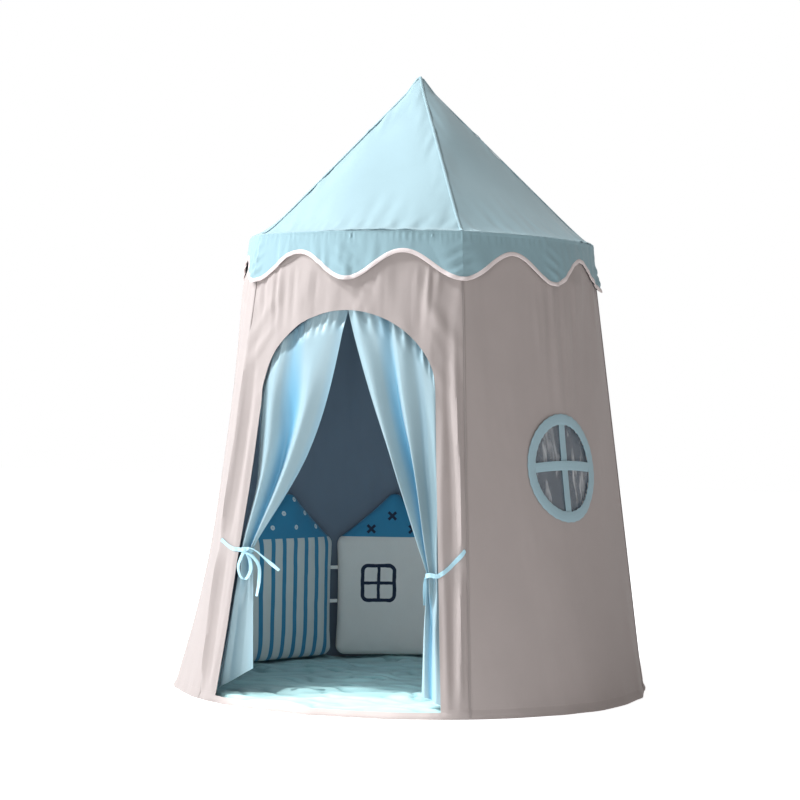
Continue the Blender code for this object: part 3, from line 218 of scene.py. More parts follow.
def panel_share(angle, flatness):
    return 1 - flatness + flatness * math.cos(HALF_PANEL) / np.cos(angle)


def wall_flatness(height):
    up_share = np.clip(height / WALL_TOP_HEIGHT, 0, 1)
    return WALL_FLATNESS * np.sin(math.pi * up_share) + EAVE_FLATNESS * up_share**EAVE_FLATTENING_POWER


def seam_radius(height):
    return WALL_BASE_RADIUS - WALL_SLOPE * height


def wall_radius(angle, height):
    return seam_radius(height) * panel_share(angle, wall_flatness(height))


def jamb_angle(height):
    return HALF_PANEL - JAMB_STRIP / seam_radius(height)


def arch_height(share):
    return ARCH_SPRING + ARCH_RISE * np.sqrt(np.clip(1 - share * share, 0, 1))


# Mesh helpers

def grid_faces(rows, columns, around=False):
    i, j = np.meshgrid(np.arange(rows - 1), np.arange(columns - (not around)), indexing="ij")
    k = (j + 1) % columns
    low, high = i * columns, (i + 1) * columns
    return np.stack((low + j, low + k, high + k, high + j), -1).reshape(-1, 4)


def corner_normals(points, faces):
    across = points[faces[:, 2]] - points[faces[:, 0]]
    along = points[faces[:, 3]] - points[faces[:, 1]]
    normal = np.cross(across, along)
    total = np.zeros_like(points)
    for k in range(4):
        np.add.at(total, faces[:, k], normal)
    return total / np.maximum(np.linalg.norm(total, axis=1, keepdims=True), 1e-12)


def open_edges(faces):
    """The edges that only one face uses, in that face's order."""
    pairs = {(int(face[k]), int(face[(k + 1) % 4])) for face in faces for k in range(4)}
    return [(a, b) for a, b in sorted(pairs) if (b, a) not in pairs and a != b]


def write_layer(mesh, label, places):
    """Flat coordinates in metres, from a pair for each point."""
    layer = mesh.uv_layers.new(name=label)
    corners = np.empty(len(mesh.loops), np.int32)
    mesh.loops.foreach_get("vertex_index", corners)
    layer.data.foreach_set("uv", np.asarray(places, np.float32).reshape(-1, 2)[corners].ravel())


def write_fold_shade_layer(mesh, depth):
    """How deep in a fold each point lies, from 0 to 1, for the finishes that paint shade into folds from it.
    """
    write_layer(mesh, "folds", np.stack((depth, 0 * depth), -1))


def new_mesh(name, points, faces, finishes, uv):
    mesh = bpy.data.meshes.new(name)
    mesh.from_pydata(points.reshape(-1, 3).tolist(), [], faces)
    for finish in finishes:
        mesh.materials.append(finish)
    write_layer(mesh, "cloth", uv)
    return mesh


def put_in_scene(name, data):
    item = bpy.data.objects.new(name, data)
    bpy.context.scene.collection.objects.link(item)
    return item


def make_sheet(name, points, faces, uv, face_finish, back_finish=None, thickness=CLOTH_THICKNESS):
    """A closed sheet of cloth behind the given outer face, with its own finish on the back."""
    points, uv = points.reshape(-1, 3), uv.reshape(-1, 2)
    inner = points - corner_normals(points, faces) * thickness
    count = len(points)
    rim = np.array([(b, a, a + count, b + count) for a, b in open_edges(faces)])
    every = np.vstack((faces, faces[:, ::-1] + count, rim))
    finishes = (face_finish, back_finish or face_finish)
    mesh = new_mesh(name, np.vstack((points, inner)), every.tolist(), finishes, np.vstack((uv, uv)))
    slots = np.repeat((0, 1, 0), (len(faces), len(faces), len(rim)))
    mesh.polygons.foreach_set("material_index", slots.astype(np.int32))
    mesh.validate()
    mesh.shade_smooth()
    mesh.set_sharp_from_angle(angle=SHARP_ANGLE)
    return put_in_scene(name, mesh)


def make_grid_sheet(name, points, uv, finish, thickness=CLOTH_THICKNESS, reverse=False):
    faces = grid_faces(*points.shape[:2])
    if reverse:
        faces = faces[:, ::-1]
    return make_sheet(name, points, faces, uv, finish, thickness=thickness)


def sweep_faces(count, sides, closed=False):
    """The faces through rings of points, closed in a circle or capped at both ends."""
    faces = grid_faces(count, sides, around=True).tolist()
    first, last = np.arange(sides), (count - 1) * sides + np.arange(sides)
    if closed:
        return faces + np.stack((last, np.roll(last, -1), np.roll(first, -1), first), -1).tolist()
    return faces + [first[::-1].tolist(), last.tolist()]


def make_sweep(name, sections, uv, finish, closed=False):
    """A solid through rings of points, given as (stations, sides, 3)."""
    mesh = new_mesh(name, sections, sweep_faces(*sections.shape[:2], closed), (finish,), uv)
    work = bmesh.new()
    work.from_mesh(mesh)
    bmesh.ops.recalc_face_normals(work, faces=work.faces)
    work.to_mesh(mesh)
    work.free()
    mesh.shade_smooth()
    mesh.set_sharp_from_angle(angle=SHARP_ANGLE)
    return put_in_scene(name, mesh)


def run_length(path):
    """The distance along a path at each of its points."""
    return np.concatenate(([0], np.cumsum(np.linalg.norm(np.diff(path, axis=0), axis=1))))


def path_length(path):
    return float(np.linalg.norm(np.diff(path, axis=0), axis=1).sum())


def smooth_path(points, steps):
    """A curve through points, as evenly spaced samples."""
    points = np.asarray([tuple(point) for point in points], float)
    padded = np.vstack((2 * points[0] - points[1], points, 2 * points[-1] - points[-2]))
    t = np.linspace(0, 1, 12, endpoint=False)[:, None]
    samples = []
    for a, b, c, d in zip(padded, padded[1:], padded[2:], padded[3:]):
        bend = (2 * a - 5 * b + 4 * c - d) * t**2
        samples.append(0.5 * (2 * b + (c - a) * t + bend + (3 * b - a - 3 * c + d) * t**3))
    samples = np.vstack(samples + [points[-1:]])
    lengths = run_length(samples)
    even = np.linspace(0, lengths[-1], steps)
    return np.stack([np.interp(even, lengths, samples[:, k]) for k in range(3)], -1)


def make_tape(name, path, ways, width, thickness, finish, crown=0.25):
    """A flat tape with rounded edges along a path; ways point across its width."""
    path, ways = np.asarray(path, float), np.asarray(ways, float)
    along = np.gradient(path, axis=0)
    along /= np.linalg.norm(along, axis=1, keepdims=True)
    ways = ways - along * (ways * along).sum(1, keepdims=True)
    ways /= np.linalg.norm(ways, axis=1, keepdims=True)
    thick = np.cross(along, ways)
    outline = soft_section(12, 0.55, 0.8)
    across = outline[:, 0] * width
    rise = outline[:, 1] * thickness + crown * thickness * (1 - (2 * outline[:, 0]) ** 2)
    sections = path[:, None] + ways[:, None] * across[None, :, None] + thick[:, None] * rise[None, :, None]
    return make_sweep(name, sections, stack(run_length(path)[:, None], across[None]), finish)


# Shader helpers

class Signal:
    """A value that a shader tree works out; arithmetic on it adds math nodes to the tree."""

    def __init__(self, tree, socket):
        self.tree, self.socket = tree, socket

    def through(self, operation, *values, clamp=False):
        return math_node(self.tree, operation, self, *values, clamp=clamp)

    def __add__(self, other):
        return self.through("ADD", other)

    def __sub__(self, other):
        return self.through("SUBTRACT", other)

    def __mul__(self, other):
        return self.through("MULTIPLY", other)

    def __truediv__(self, other):
        return self.through("DIVIDE", other)

    def __abs__(self):
        return self.through("ABSOLUTE")


def plug(socket, value):
    """Feeds a socket from a signal, or sets it to a plain number or colour."""
    if isinstance(value, Signal):
        value.tree.links.new(value.socket, socket)
    else:
        socket.default_value = value


def feed(node, **values):
    """Feeds a node's inputs by name, where _ stands for a space."""
    for label, value in values.items():
        plug(node.inputs[label.replace("_", " ")], value)


def signals(tree, node):
    """A node's outputs by name."""
    return {socket.name: Signal(tree, socket) for socket in node.outputs}


def math_node(tree, operation, *values, clamp=False):
    node = tree.nodes.new("ShaderNodeMath")
    node.operation = operation
    node.use_clamp = clamp
    for socket, value in zip(node.inputs, values):
        plug(socket, value)
    return Signal(tree, node.outputs[0])


def map_range(value, low, high, new_low=0.0, new_high=1.0, smooth=True):
    node = value.tree.nodes.new("ShaderNodeMapRange")
    node.interpolation_type = "SMOOTHSTEP" if smooth else "LINEAR"
    for socket, number in zip(node.inputs, (value, low, high, new_low, new_high)):
        plug(socket, number)
    return Signal(value.tree, node.outputs[0])


def mix_colour(tree, share, first, second, kind="MIX"):
    node = tree.nodes.new("ShaderNodeMix")
    node.data_type = "RGBA"
    node.blend_type = kind
    for place, value in ((0, share), (6, first), (7, second)):
        plug(node.inputs[place], value)
    return Signal(tree, node.outputs[2])


def split(vector):
    node = vector.tree.nodes.new("ShaderNodeSeparateXYZ")
    plug(node.inputs[0], vector)
    return [Signal(vector.tree, socket) for socket in node.outputs]


def stretched(vector, scale):
    node = vector.tree.nodes.new("ShaderNodeMapping")
    plug(node.inputs[0], vector)
    node.inputs["Scale"].default_value = scale
    return Signal(vector.tree, node.outputs[0])


def noise(vector, scale=1, detail=2, distortion=0):
    node = vector.tree.nodes.new("ShaderNodeTexNoise")
    feed(node, Vector=vector, Scale=scale, Detail=detail, Distortion=distortion)
    return Signal(vector.tree, node.outputs[0])


def flat_length(x, y):
    return (x.through("POWER", 2.0) + y.through("POWER", 2.0)).through("SQRT")


def layer_place(tree, label):
    node = tree.nodes.new("ShaderNodeUVMap")
    node.uv_map = label
    return Signal(tree, node.outputs[0])


def new_material(name):
    material = bpy.data.materials.new(name)
    material.use_nodes = True
    tree = material.node_tree
    return material, tree, tree.nodes["Principled BSDF"]


def add_relief(shader, height, strength, distance=0.0002):
    node = height.tree.nodes.new("ShaderNodeBump")
    feed(node, Strength=strength, Distance=distance, Height=height)
    plug(shader.inputs["Normal"], Signal(height.tree, node.outputs[0]))


# Shader groups that several finishes share

def new_group(name, inputs, outputs):
    """An empty group, its inputs as signals and its output sockets."""
    group = bpy.data.node_groups.new(name, "ShaderNodeTree")
    for label, kind, value in inputs:
        socket = group.interface.new_socket(name=label, in_out="INPUT", socket_type=f"NodeSocket{kind}")
        if value is not None:
            socket.default_value = value
    for label, kind in outputs:
        group.interface.new_socket(name=label, in_out="OUTPUT", socket_type=f"NodeSocket{kind}")
    given = signals(group, group.nodes.new("NodeGroupInput"))
    return group, given, group.nodes.new("NodeGroupOutput").inputs


def use_group(tree, group, **values):
    node = tree.nodes.new("ShaderNodeGroup")
    node.node_tree = group
    feed(node, **values)
    return signals(tree, node)


def weave_group():
    """Plain weave from cloth coordinates: threads over and under, with slubs."""
    group, given, put = new_group(
        "plain_weave",
        [("Cloth", "Vector", None), ("Thread Pitch", "Float", 0.0011)],
        [("Height", "Float"), ("Slub", "Float")],
    )
    along, up, _ = split(given["Cloth"])
    turns = math_node(group, "DIVIDE", math.pi, given["Thread Pitch"])
    warp = (along * turns).through("SINE")
    weft = (up * turns).through("SINE")
    over = warp * weft
    ribs = abs(warp) + abs(weft)
    plug(put["Height"], over.through("MULTIPLY_ADD", 0.5, ribs * 0.4))
    plug(put["Slub"], noise(stretched(given["Cloth"], (900, 70, 1))))
    return group


def tone_weave_shade_group():
    """A dye colour with cloudy patches and slubs, and painted weave shade: paler thread crowns, darker gaps
    between the threads.
    """
    group, given, put = new_group(
        "cloth_tone_and_weave_shade",
        [
            ("Cloth", "Vector", None),
            ("Dye", "Color", None),
            ("Cloudiness", "Float", 0.06),
            ("Slub", "Float", 0.5),
            ("Slub Depth", "Float", 0.06),
            ("Height", "Float", 0.5),
        ],
        [("Color", "Color"), ("Roughness Shift", "Float")],
    )
    patches = (noise(given["Cloth"], 9, detail=4) - 0.5) * 2.0
    value = patches.through("MULTIPLY_ADD", given["Cloudiness"], 1.0)
    value = (given["Slub"] - 0.5).through("MULTIPLY_ADD", given["Slub Depth"], value)
    # Painted shade: the colour darkens where the weave lies low between the threads.
    value = (given["Height"] - 0.45).through("MULTIPLY_ADD", 0.05, value)
    shade = group.nodes.new("ShaderNodeCombineColor")
    for socket in shade.inputs:
        plug(socket, value)
    shade = Signal(group, shade.outputs[0])
    plug(put["Color"], mix_colour(group, 1.0, given["Dye"], shade, "MULTIPLY"))
    plug(put["Roughness Shift"], patches * 0.05)
    return group


def stitch_group():
    """A row of stitches: Along runs with the row, and Across is the distance from it."""
    group, given, put = new_group(
        "stitch_row",
        [
            ("Along", "Float", 0.0),
            ("Across", "Float", 0.0),
            ("Stitch Length", "Float", 0.0032),
            ("Thread Width", "Float", 0.0006),
        ],
        [("Thread", "Float"), ("Height", "Float")],
    )
    from_middle = abs((given["Along"] / given["Stitch Length"]).through("FRACT") - 0.5)
    share = abs(given["Across"]) / given["Thread Width"]
    in_stitch = map_range(from_middle, 0.30, 0.42, 1.0, 0.0)
    on_row = map_range(share, 0.35, 0.75, 1.0, 0.0)
    thread = in_stitch * on_row
    pull = map_range(share, 0.0, 5.0, 1.0, 0.0)
    plug(put["Thread"], thread)
    plug(put["Height"], thread - pull * 0.8)
    return group


def moulded_group():
    """Fine mould texture and light scuffs for plastic and rods, in the tent's own space."""
    group, given, put = new_group(
        "moulded_skin",
        [("Place", "Vector", None), ("Dye", "Color", None), ("Scuffing", "Float", 0.3)],
        [("Color", "Color"), ("Roughness Shift", "Float"), ("Height", "Float")],
    )
    marks = map_range(noise(given["Place"], 60, detail=6), 0.52, 0.70)
    worn = marks * given["Scuffing"]
    plug(put["Color"], mix_colour(group, worn * 0.35, given["Dye"], (0.62, 0.62, 0.60, 1)))
    plug(put["Roughness Shift"], worn * 0.4)
    plug(put["Height"], noise(given["Place"], 900))
    return group


weave = weave_group()
tone_weave_shade = tone_weave_shade_group()
stitch_row = stitch_group()
moulded = moulded_group()


# Materials

def cloth_material(
    name,
    dye,
    pitch=0.0011,
    depth=0.35,
    roughness=0.85,
    sheen=0.25,
    cloudiness=0.05,
    specular=0.35,
    stitches=(),
    print_on=None,
    fold_shade_colour=None,
):
    """Woven cloth. stitches lists how far up the cloth each row of stitches runs, and a fold colour, where
    one is given, is painted shade mixed in by how deep the cloth lies in a fold.
    """
    material, tree, shader = new_material(name)
    cloth = layer_place(tree, "cloth")
    woven = use_group(tree, weave, Cloth=cloth, Thread_Pitch=pitch)
    colour = (*dye, 1)
    if print_on:
        colour = print_on(tree, cloth, colour)
    # Painted shade: a deeper colour mixed in where the cloth lies deep in a fold.
    if fold_shade_colour:
        fold_shade_share, _, _ = split(layer_place(tree, "folds"))
        colour = mix_colour(tree, fold_shade_share, colour, (*fold_shade_colour, 1))
    slub, height = woven["Slub"], woven["Height"]
    toned_and_shaded = use_group(tree, tone_weave_shade, Cloth=cloth, Dye=colour, Cloudiness=cloudiness, Slub=slub, Height=height)
    colour = toned_and_shaded["Color"]
    height = slub.through("MULTIPLY_ADD", 0.6, height)
    along, up, _ = split(cloth)
    thread_dye = (*[min(1, 1.25 * c) for c in dye], 1)
    for offset in stitches:
        row = use_group(tree, stitch_row, Along=along, Across=up - offset)
        colour = mix_colour(tree, row["Thread"] * 0.5, colour, thread_dye)
        height = row["Height"].through("MULTIPLY_ADD", 3.0, height)
    plug(shader.inputs["Base Color"], colour)
    plug(shader.inputs["Roughness"], toned_and_shaded["Roughness Shift"].through("ADD", roughness, clamp=True))
    add_relief(shader, height, depth)
    shader.inputs["Sheen Weight"].default_value = sheen
    shader.inputs["Sheen Roughness"].default_value = 0.45
    shader.inputs["Specular IOR Level"].default_value = specular
    return material


def moulded_material(name, dye, roughness, scuffing):
    material, tree, shader = new_material(name)
    place = signals(tree, tree.nodes.new("ShaderNodeTexCoord"))["Object"]
    skin = use_group(tree, moulded, Place=place, Dye=(*dye, 1), Scuffing=scuffing)
    plug(shader.inputs["Base Color"], skin["Color"])
    plug(shader.inputs["Roughness"], skin["Roughness Shift"].through("ADD", roughness, clamp=True))
    add_relief(shader, skin["Height"], 0.15)
    return material


def film_material():
    """The window's clear film, with soft upright waves in its relief; its grey colour, paler and more opaque
    along the waves, is painted reflection.
    """
    material, tree, shader = new_material("window_film")
    waves = noise(stretched(layer_place(tree, "cloth"), (38, 9, 1)), detail=3, distortion=0.8)
    # Painted reflection: paler, more opaque streaks follow the waves in the film's colour.
    painted_reflection = map_range(waves, 0.48, 0.76)
    colour = mix_colour(tree, painted_reflection, (0.24, 0.25, 0.265, 1), (0.74, 0.76, 0.78, 1))
    plug(shader.inputs["Base Color"], colour)
    plug(shader.inputs["Alpha"], map_range(painted_reflection, 0.0, 1.0, 0.42, 0.72, smooth=False))
    plug(shader.inputs["Roughness"], map_range(waves, 0.3, 0.7, 0.06, 0.16, smooth=False))
    add_relief(shader, waves, 0.6, distance=0.004)
    return material


# Prints on the cushions, from cloth coordinates with their origin at the cushion's foot.
# The shifts count in stripes, dots and rows, and keep every count above zero.

PRINT_BLUE = (0.040, 0.240, 0.420, 1)
PRINT_NAVY = (0.012, 0.022, 0.050, 1)
PRINT_DOT = (0.62, 0.72, 0.75, 1)
PRINT_DOT_EYE = (0.25, 0.42, 0.52, 1)
PRINT_EDGE = 0.0006
STRIPE_PITCH = 0.0402
STRIPE_HALF_WIDTH = 0.0070
STRIPE_SHIFT = 10.4
DOT_SPACING = 0.081
DOT_SHIFT = 10.435
DOT_ROW_HEIGHT = 0.0377
DOT_ROW_SHIFT = 10.5
FIRST_DOT_ROW = 0.3640
DOT_RADIUS = 0.0066
DOT_EYE_RADIUS = 0.0018
PANE_HALF_WIDTH = 0.044
PANE_HALF_HEIGHT = 0.048
PANE_CORNER = 0.014
PANE_STROKE = 0.0052
PANE_MIDDLE = (-0.0444, 0.206)
BAR_STROKE_SHARE = 0.85
HAND_WOBBLE = 0.006
CROSS_STROKE = 0.0054
CROSS_REACH = 0.021
CROSS_PLACES = ((-0.0666, 0.3558), (-0.0087, 0.3926), (0.0492, 0.3558))


def mask_above(value, level):
    return map_range(value, level - PRINT_EDGE, level + PRINT_EDGE)


def mask_below(value, level):
    return map_range(value, level - PRINT_EDGE, level + PRINT_EDGE, 1.0, 0.0)


def dots_and_stripes(tree, cloth, pale):
    """Blue stripes on a pale body, under a blue gable with pale dots."""
    x, y, _ = split(cloth)
    away = abs((x / STRIPE_PITCH + STRIPE_SHIFT).through("FRACT") - 0.5) * STRIPE_PITCH
    body = mix_colour(tree, mask_below(away, STRIPE_HALF_WIDTH), pale, PRINT_BLUE)
    row = (y - FIRST_DOT_ROW) / DOT_ROW_HEIGHT + DOT_ROW_SHIFT
    shift = row.through("FLOOR").through("FLOORED_MODULO", 2.0) * 0.5
    column = x / DOT_SPACING + (shift + DOT_SHIFT)
    dx = (column.through("FRACT") - 0.5) * DOT_SPACING
    dy = (row.through("FRACT") - 0.5) * DOT_ROW_HEIGHT
    reach = flat_length(dx, dy)
    gable = mix_colour(tree, mask_below(reach, DOT_RADIUS), PRINT_BLUE, PRINT_DOT)
    gable = mix_colour(tree, mask_below(reach, DOT_EYE_RADIUS), gable, PRINT_DOT_EYE)
    return mix_colour(tree, mask_above(y, CUSHION_PRINT_LINE), body, gable)


def window_and_crosses(tree, cloth, pale):
    """A navy four-pane window drawn on a pale body, under a blue gable with navy crosses."""
    x, y, _ = split(cloth)
    hand = (noise(cloth, 30) - 0.5) * HAND_WOBBLE
    ax = abs(x - PANE_MIDDLE[0] + hand)
    ay = abs(y - PANE_MIDDLE[1] + hand)
    past_x = ax - (PANE_HALF_WIDTH - PANE_CORNER)
    past_y = ay - (PANE_HALF_HEIGHT - PANE_CORNER)
    round_corner = flat_length(past_x.through("MAXIMUM", 0.0), past_y.through("MAXIMUM", 0.0))
    straight = past_x.through("MAXIMUM", past_y).through("MINIMUM", 0.0)
    edge = round_corner + straight - PANE_CORNER
    border = mask_below(abs(edge), PANE_STROKE)
    bars = mask_below(ax.through("MINIMUM", ay), PANE_STROKE * BAR_STROKE_SHARE)
    bars = bars * mask_below(edge, 0.0)
    body = mix_colour(tree, border.through("MAXIMUM", bars), pale, PRINT_NAVY)
    gable = PRINT_BLUE
    for cross_x, cross_y in CROSS_PLACES:
        px, py = x - cross_x, y - cross_y
        rise, fall = abs(px + py), abs(px - py)
        near = mask_below(rise.through("MINIMUM", fall), CROSS_STROKE)
        far = mask_below(rise.through("MAXIMUM", fall), CROSS_REACH)
        gable = mix_colour(tree, near * far, gable, PRINT_NAVY)
    return mix_colour(tree, mask_above(y, CUSHION_PRINT_LINE), body, gable)


# Finishes

ROOF_DYE = (0.355, 0.51, 0.56)
WALL_DYE = (0.43, 0.378, 0.364)
SEAM_DYE = [0.78 * c for c in WALL_DYE]

roof_cloth = cloth_material("roof_cloth", ROOF_DYE, stitches=(0.010,))
ridge_cloth = cloth_material("roof_ridge_cloth", ROOF_DYE, stitches=(0.0026, -0.0026))
# Painted shade: the valance is the roof's cloth coloured darker, for the shade on its upright face under the
# eave.
valance_cloth = cloth_material("valance_cloth", (0.275, 0.425, 0.475), stitches=(CREASE_HEIGHT - 0.007,))
wall_cloth = cloth_material("wall_cloth", WALL_DYE, stitches=(0.022,))
# Painted shade: the walls' inner face is a dark blue-grey copy of the wall cloth, standing for the shaded
# inside and the blue light through the roof.
wall_inside_painted_shade = cloth_material("wall_inside_painted_shade", (0.165, 0.210, 0.272), sheen=0.1)
seam_cloth = cloth_material("wall_seam_cloth", SEAM_DYE, stitches=(0.0,))
binding_tape = cloth_material("binding_tape", (0.80, 0.71, 0.70), pitch=0.0008, stitches=(0.0092,))
# The curtain's fold colour is painted shade: a deeper blue in its fold valleys.
curtain_cloth = cloth_material(
    "curtain_cloth",
    (0.33, 0.48, 0.54),
    pitch=0.0008,
    depth=0.2,
    roughness=0.38,
    sheen=0.35,
    cloudiness=0.03,
    specular=0.8,
    fold_shade_colour=(0.115, 0.37, 0.56),
)
tie_tape = cloth_material("tie_tape", (0.46, 0.74, 0.86), pitch=0.0008, roughness=0.6, sheen=0.4)
window_tape = cloth_material("window_tape", (0.35, 0.51, 0.575), pitch=0.0009, stitches=(0.0, 0.010, -0.010))
# The mat's fold colour is painted shade: darker teal in its channels and creases.
mat_cloth = cloth_material("mat_cloth", (0.42, 0.66, 0.67), cloudiness=0.04, fold_shade_colour=(0.17, 0.36, 0.38))
striped_cloth = cloth_material("striped_cushion_cloth", (0.64, 0.68, 0.66), print_on=dots_and_stripes)
pale_cloth = cloth_material("pale_cushion_cloth", (0.74, 0.72, 0.69), print_on=window_and_crosses)
white_tape = cloth_material("cushion_tie_tape", (0.82, 0.82, 0.80), pitch=0.0007)
window_film = film_material()
white_pole = moulded_material("pole_white", (0.78, 0.78, 0.76), 0.42, 0.4)
grey_rod = moulded_material("rod_grey", (0.50, 0.51, 0.52), 0.36, 0.6)
grey_plastic = moulded_material("connector_plastic", (0.66, 0.67, 0.68), 0.48, 0.3)


# Walls

HEM_ROLL = (0.0062, 0.0072)


def wall_relief(panel, x, z, reach):
    """How far the cloth stands off the wall's plain shape, at an arc distance from the panel's middle."""
    loose = eased((reach - np.abs(x)) / 0.070)
    broad = ripples(20 + panel, 0.26, 0.52, 1.6)
    upright = ripples(40 + panel, 0.060, 0.130, 9.0)
    fine = ripples(60 + panel, 0.016, 0.036, 3.5)
    high = eased((z - 0.62) / 0.45)
    low = eased((0.30 - z) / 0.30)
    relief = 0.0026 * broad(x, z) + (0.0007 + 0.0013 * high + 0.0010 * low) * upright(x, z)
    relief = relief * loose + 0.00018 * fine(x, z) * (0.3 + 0.7 * loose)
    gather = ripples(80 + panel, 0.020, 0.034, 14.0)
    gather_height = 0.0016 if panel == 0 else 0.0009
    relief += gather_height * gather(x, z) * eased((z - 0.86) / 0.16) * (0.35 + 0.65 * loose)
    if panel == 1:
        over_window = ripples(345, 0.028, 0.060, 7.0)(x, z) * bump(z, 0.88, 0.15) * bump(x, 0.0, 0.15)
        relief = relief + 0.0021 * over_window
    relief = soft_floor(relief, 0.0026)
    hem = 0.0034 * bump(z, *HEM_ROLL) - 0.0012 * bump(z, 0.0200, 0.0035)
    pucker = ripples(90 + panel, 0.012, 0.024, 1.0)
    under = eased((z - 1.02) / 0.05)
    relief = relief * (1 - under) - 0.0010 * under
    return relief + hem + 0.0004 * pucker(x, 0 * z) * bump(z, 0.024, 0.016)


def front_relief(x, z, reach):
    """The door panel's own folds: a roll down each jamb strip, and pulls that fan from the arch."""
    from_seam = reach - np.abs(x)
    tie = np.where(x > 0, 0.352, 0.375)
    pinch = 1 - 0.75 * bump(z, tie, 0.040)
    strength = eased((1.0 - z) / 0.35) * eased(z / 0.10)
    wander = 0.004 * np.sin(9 * z + np.where(x > 0, 0.6, 2.1))
    roll_place = np.where(x > 0, 0.018, 0.004) + wander
    valley_place = roll_place + np.where(x > 0, 0.018, 0.026)
    roll = 0.0105 * bump(from_seam, roll_place, 0.0080) * pinch * strength
    valley = -0.0046 * bump(from_seam, valley_place, 0.0080) * pinch * strength
    edge = 0.0036 * bump(from_seam, 0.054 - wander, 0.0075) * strength * eased((0.80 - z) / 0.25)
    slant = z + 1.3 * (np.abs(x) - 0.18) + np.where(x > 0, 0, 0.4)
    fan = 0.0040 * ripples(341, 0.050, 0.110, 1.0, 6)(slant, 0.3 * z)
    fan = fan * bump(z, 0.86, 0.10) * bump(np.abs(x), 0.245, 0.045)
    over_arch = 0.0046 * ripples(342, 0.055, 0.120, 1.0, 6)(x + 0.25 * (z - 0.95) * np.sign(x), 0 * z)
    over_arch = over_arch * bump(z, 0.99, 0.055) * bump(x, 0, 0.20)
    crease_at = x - 0.019 - 0.30 * (z - 0.94)
    crease = 0.0052 * bump(crease_at, 0.015, 0.0090) + 0.0026 * bump(crease_at, 0.044, 0.0100)
    crease += 0.0020 * bump(crease_at, -0.018, 0.0090) - 0.0030 * bump(crease_at, -0.001, 0.0070)
    pulls = fan + over_arch * (1 - bump(crease_at, 0.012, 0.030)) + crease * bump(z, 0.945, 0.060)
    return roll + valley + edge + soft_floor(pulls, 0.0018)


def wall_surface(panel, angle, height):
    """A point on the wall's outer face."""
    x = angle * seam_radius(height)
    reach = HALF_PANEL * seam_radius(height)
    relief = wall_relief(panel, x, height, reach)
    if panel == 0:
        relief = relief + front_relief(x, height, reach)
    seam_dip = -0.0010 * bump(np.abs(x), reach, 0.0035)
    return polar(panel * PANEL_ANGLE + angle, wall_radius(angle, height) + relief + seam_dip, height)


def panel_edge(height):
    return HALF_PANEL - GAP / 2 / seam_radius(height)


def plain_wall(panel):
    """A wall panel without a door, in rows that lie closer together at the hem."""
    share = np.linspace(0, 1, WALL_ROWS)[:, None]
    height = WALL_TOP_HEIGHT * (0.35 * share**2 + 0.65 * share)
    angle = panel_edge(height) * np.linspace(-1, 1, WALL_COLUMNS)[None]
    height = np.broadcast_to(height, angle.shape)
    uv = stack(angle * seam_radius(height), height)
    return wall_surface(panel, angle, height), grid_faces(WALL_ROWS, WALL_COLUMNS), uv


def around_window_hole(faces, uv):
    """The faces that are left when the window is cut out."""
    flat = uv.reshape(-1, 2)
    scale = wall_radius(0.0, WINDOW_HEIGHT) / seam_radius(WINDOW_HEIGHT)
    distance = np.hypot(flat[:, 0] * scale, flat[:, 1] - WINDOW_HEIGHT)[faces]
    return faces[(distance.max(axis=1) > WINDOW_HOLE) & (distance.min(axis=1) > WINDOW_HOLE - 0.012)]


def front_wall():
    """The door panel, in columns that stop at the jambs and over the arch."""
    strip, arch = 14, 64
    sill_rows, jamb_rows, head_rows = 5, 89, 42
    shares = [("strip", -1 + i / strip) for i in range(strip)]
    shares += [("arch", math.sin(math.pi / 2 * i / (arch // 2))) for i in range(-arch // 2, arch // 2 + 1)]
    shares += [("strip", (i + 1) / strip) for i in range(strip)]
    sill = np.linspace(0, THRESHOLD, sill_rows + 1)
    low = np.concatenate((sill, np.linspace(THRESHOLD, ARCH_SPRING, jamb_rows + 1)[1:]))
    index, places, faces = {}, [], []
    spring = len(low) - 1

    def corner(j, level):
        kind, value = shares[j]
        if level <= spring and not (kind == "arch" and level == spring):
            height = low[level]
        else:
            foot = float(arch_height(value)) if kind == "arch" else ARCH_SPRING
            height = blend(foot, WALL_TOP_HEIGHT, (level - spring) / head_rows)
        if (j, level) not in index:
            jamb = jamb_angle(height)
            if kind == "arch":
                angle = value * jamb
            else:
                angle = math.copysign(blend(jamb, panel_edge(height), abs(value)), value)
            index[(j, level)] = len(places)
            places.append((angle, height))
        return index[(j, level)]

    for j in range(len(shares) - 1):
        door = shares[j][0] == shares[j + 1][0] == "arch"
        for level in range(spring + head_rows):
            if door and sill_rows <= level < spring:
                continue
            faces.append([corner(j + right, level + up) for right, up in ((0, 0), (1, 0), (1, 1), (0, 1))])
    angle, height = np.array(places).T
    return wall_surface(0, angle, height), np.array(faces), stack(angle * seam_radius(height), height)


for panel, where in enumerate(PANEL_NAMES):
    points, faces, uv = front_wall() if panel == 0 else plain_wall(panel)
    if panel == 1:
        faces = around_window_hole(faces, uv)
    wall = make_sheet(f"wall_{where}", points, faces, uv, wall_cloth, wall_inside_painted_shade)
    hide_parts(f"wall_panel_{where}")
    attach(wall, "root")

for number in range(PANEL_COUNT):
    heights = np.linspace(0.004, SEAM_TAPE_TOP, 150)
    wander = ripples(120 + number, 0.05, 0.12)(heights, 0 * heights) * 0.0004
    angle = number * PANEL_ANGLE + HALF_PANEL + wander
    path = polar(angle, seam_radius(heights) + 0.0004 + 0.0034 * bump(heights, *HEM_ROLL), heights)
    ways = polar(angle + math.pi / 2, 1.0, 0 * heights)
    seam = make_tape(f"wall_seam_{number + 1}", path, ways, *SEAM_TAPE, seam_cloth, crown=0.5)
    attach(seam, "root")


# Roof

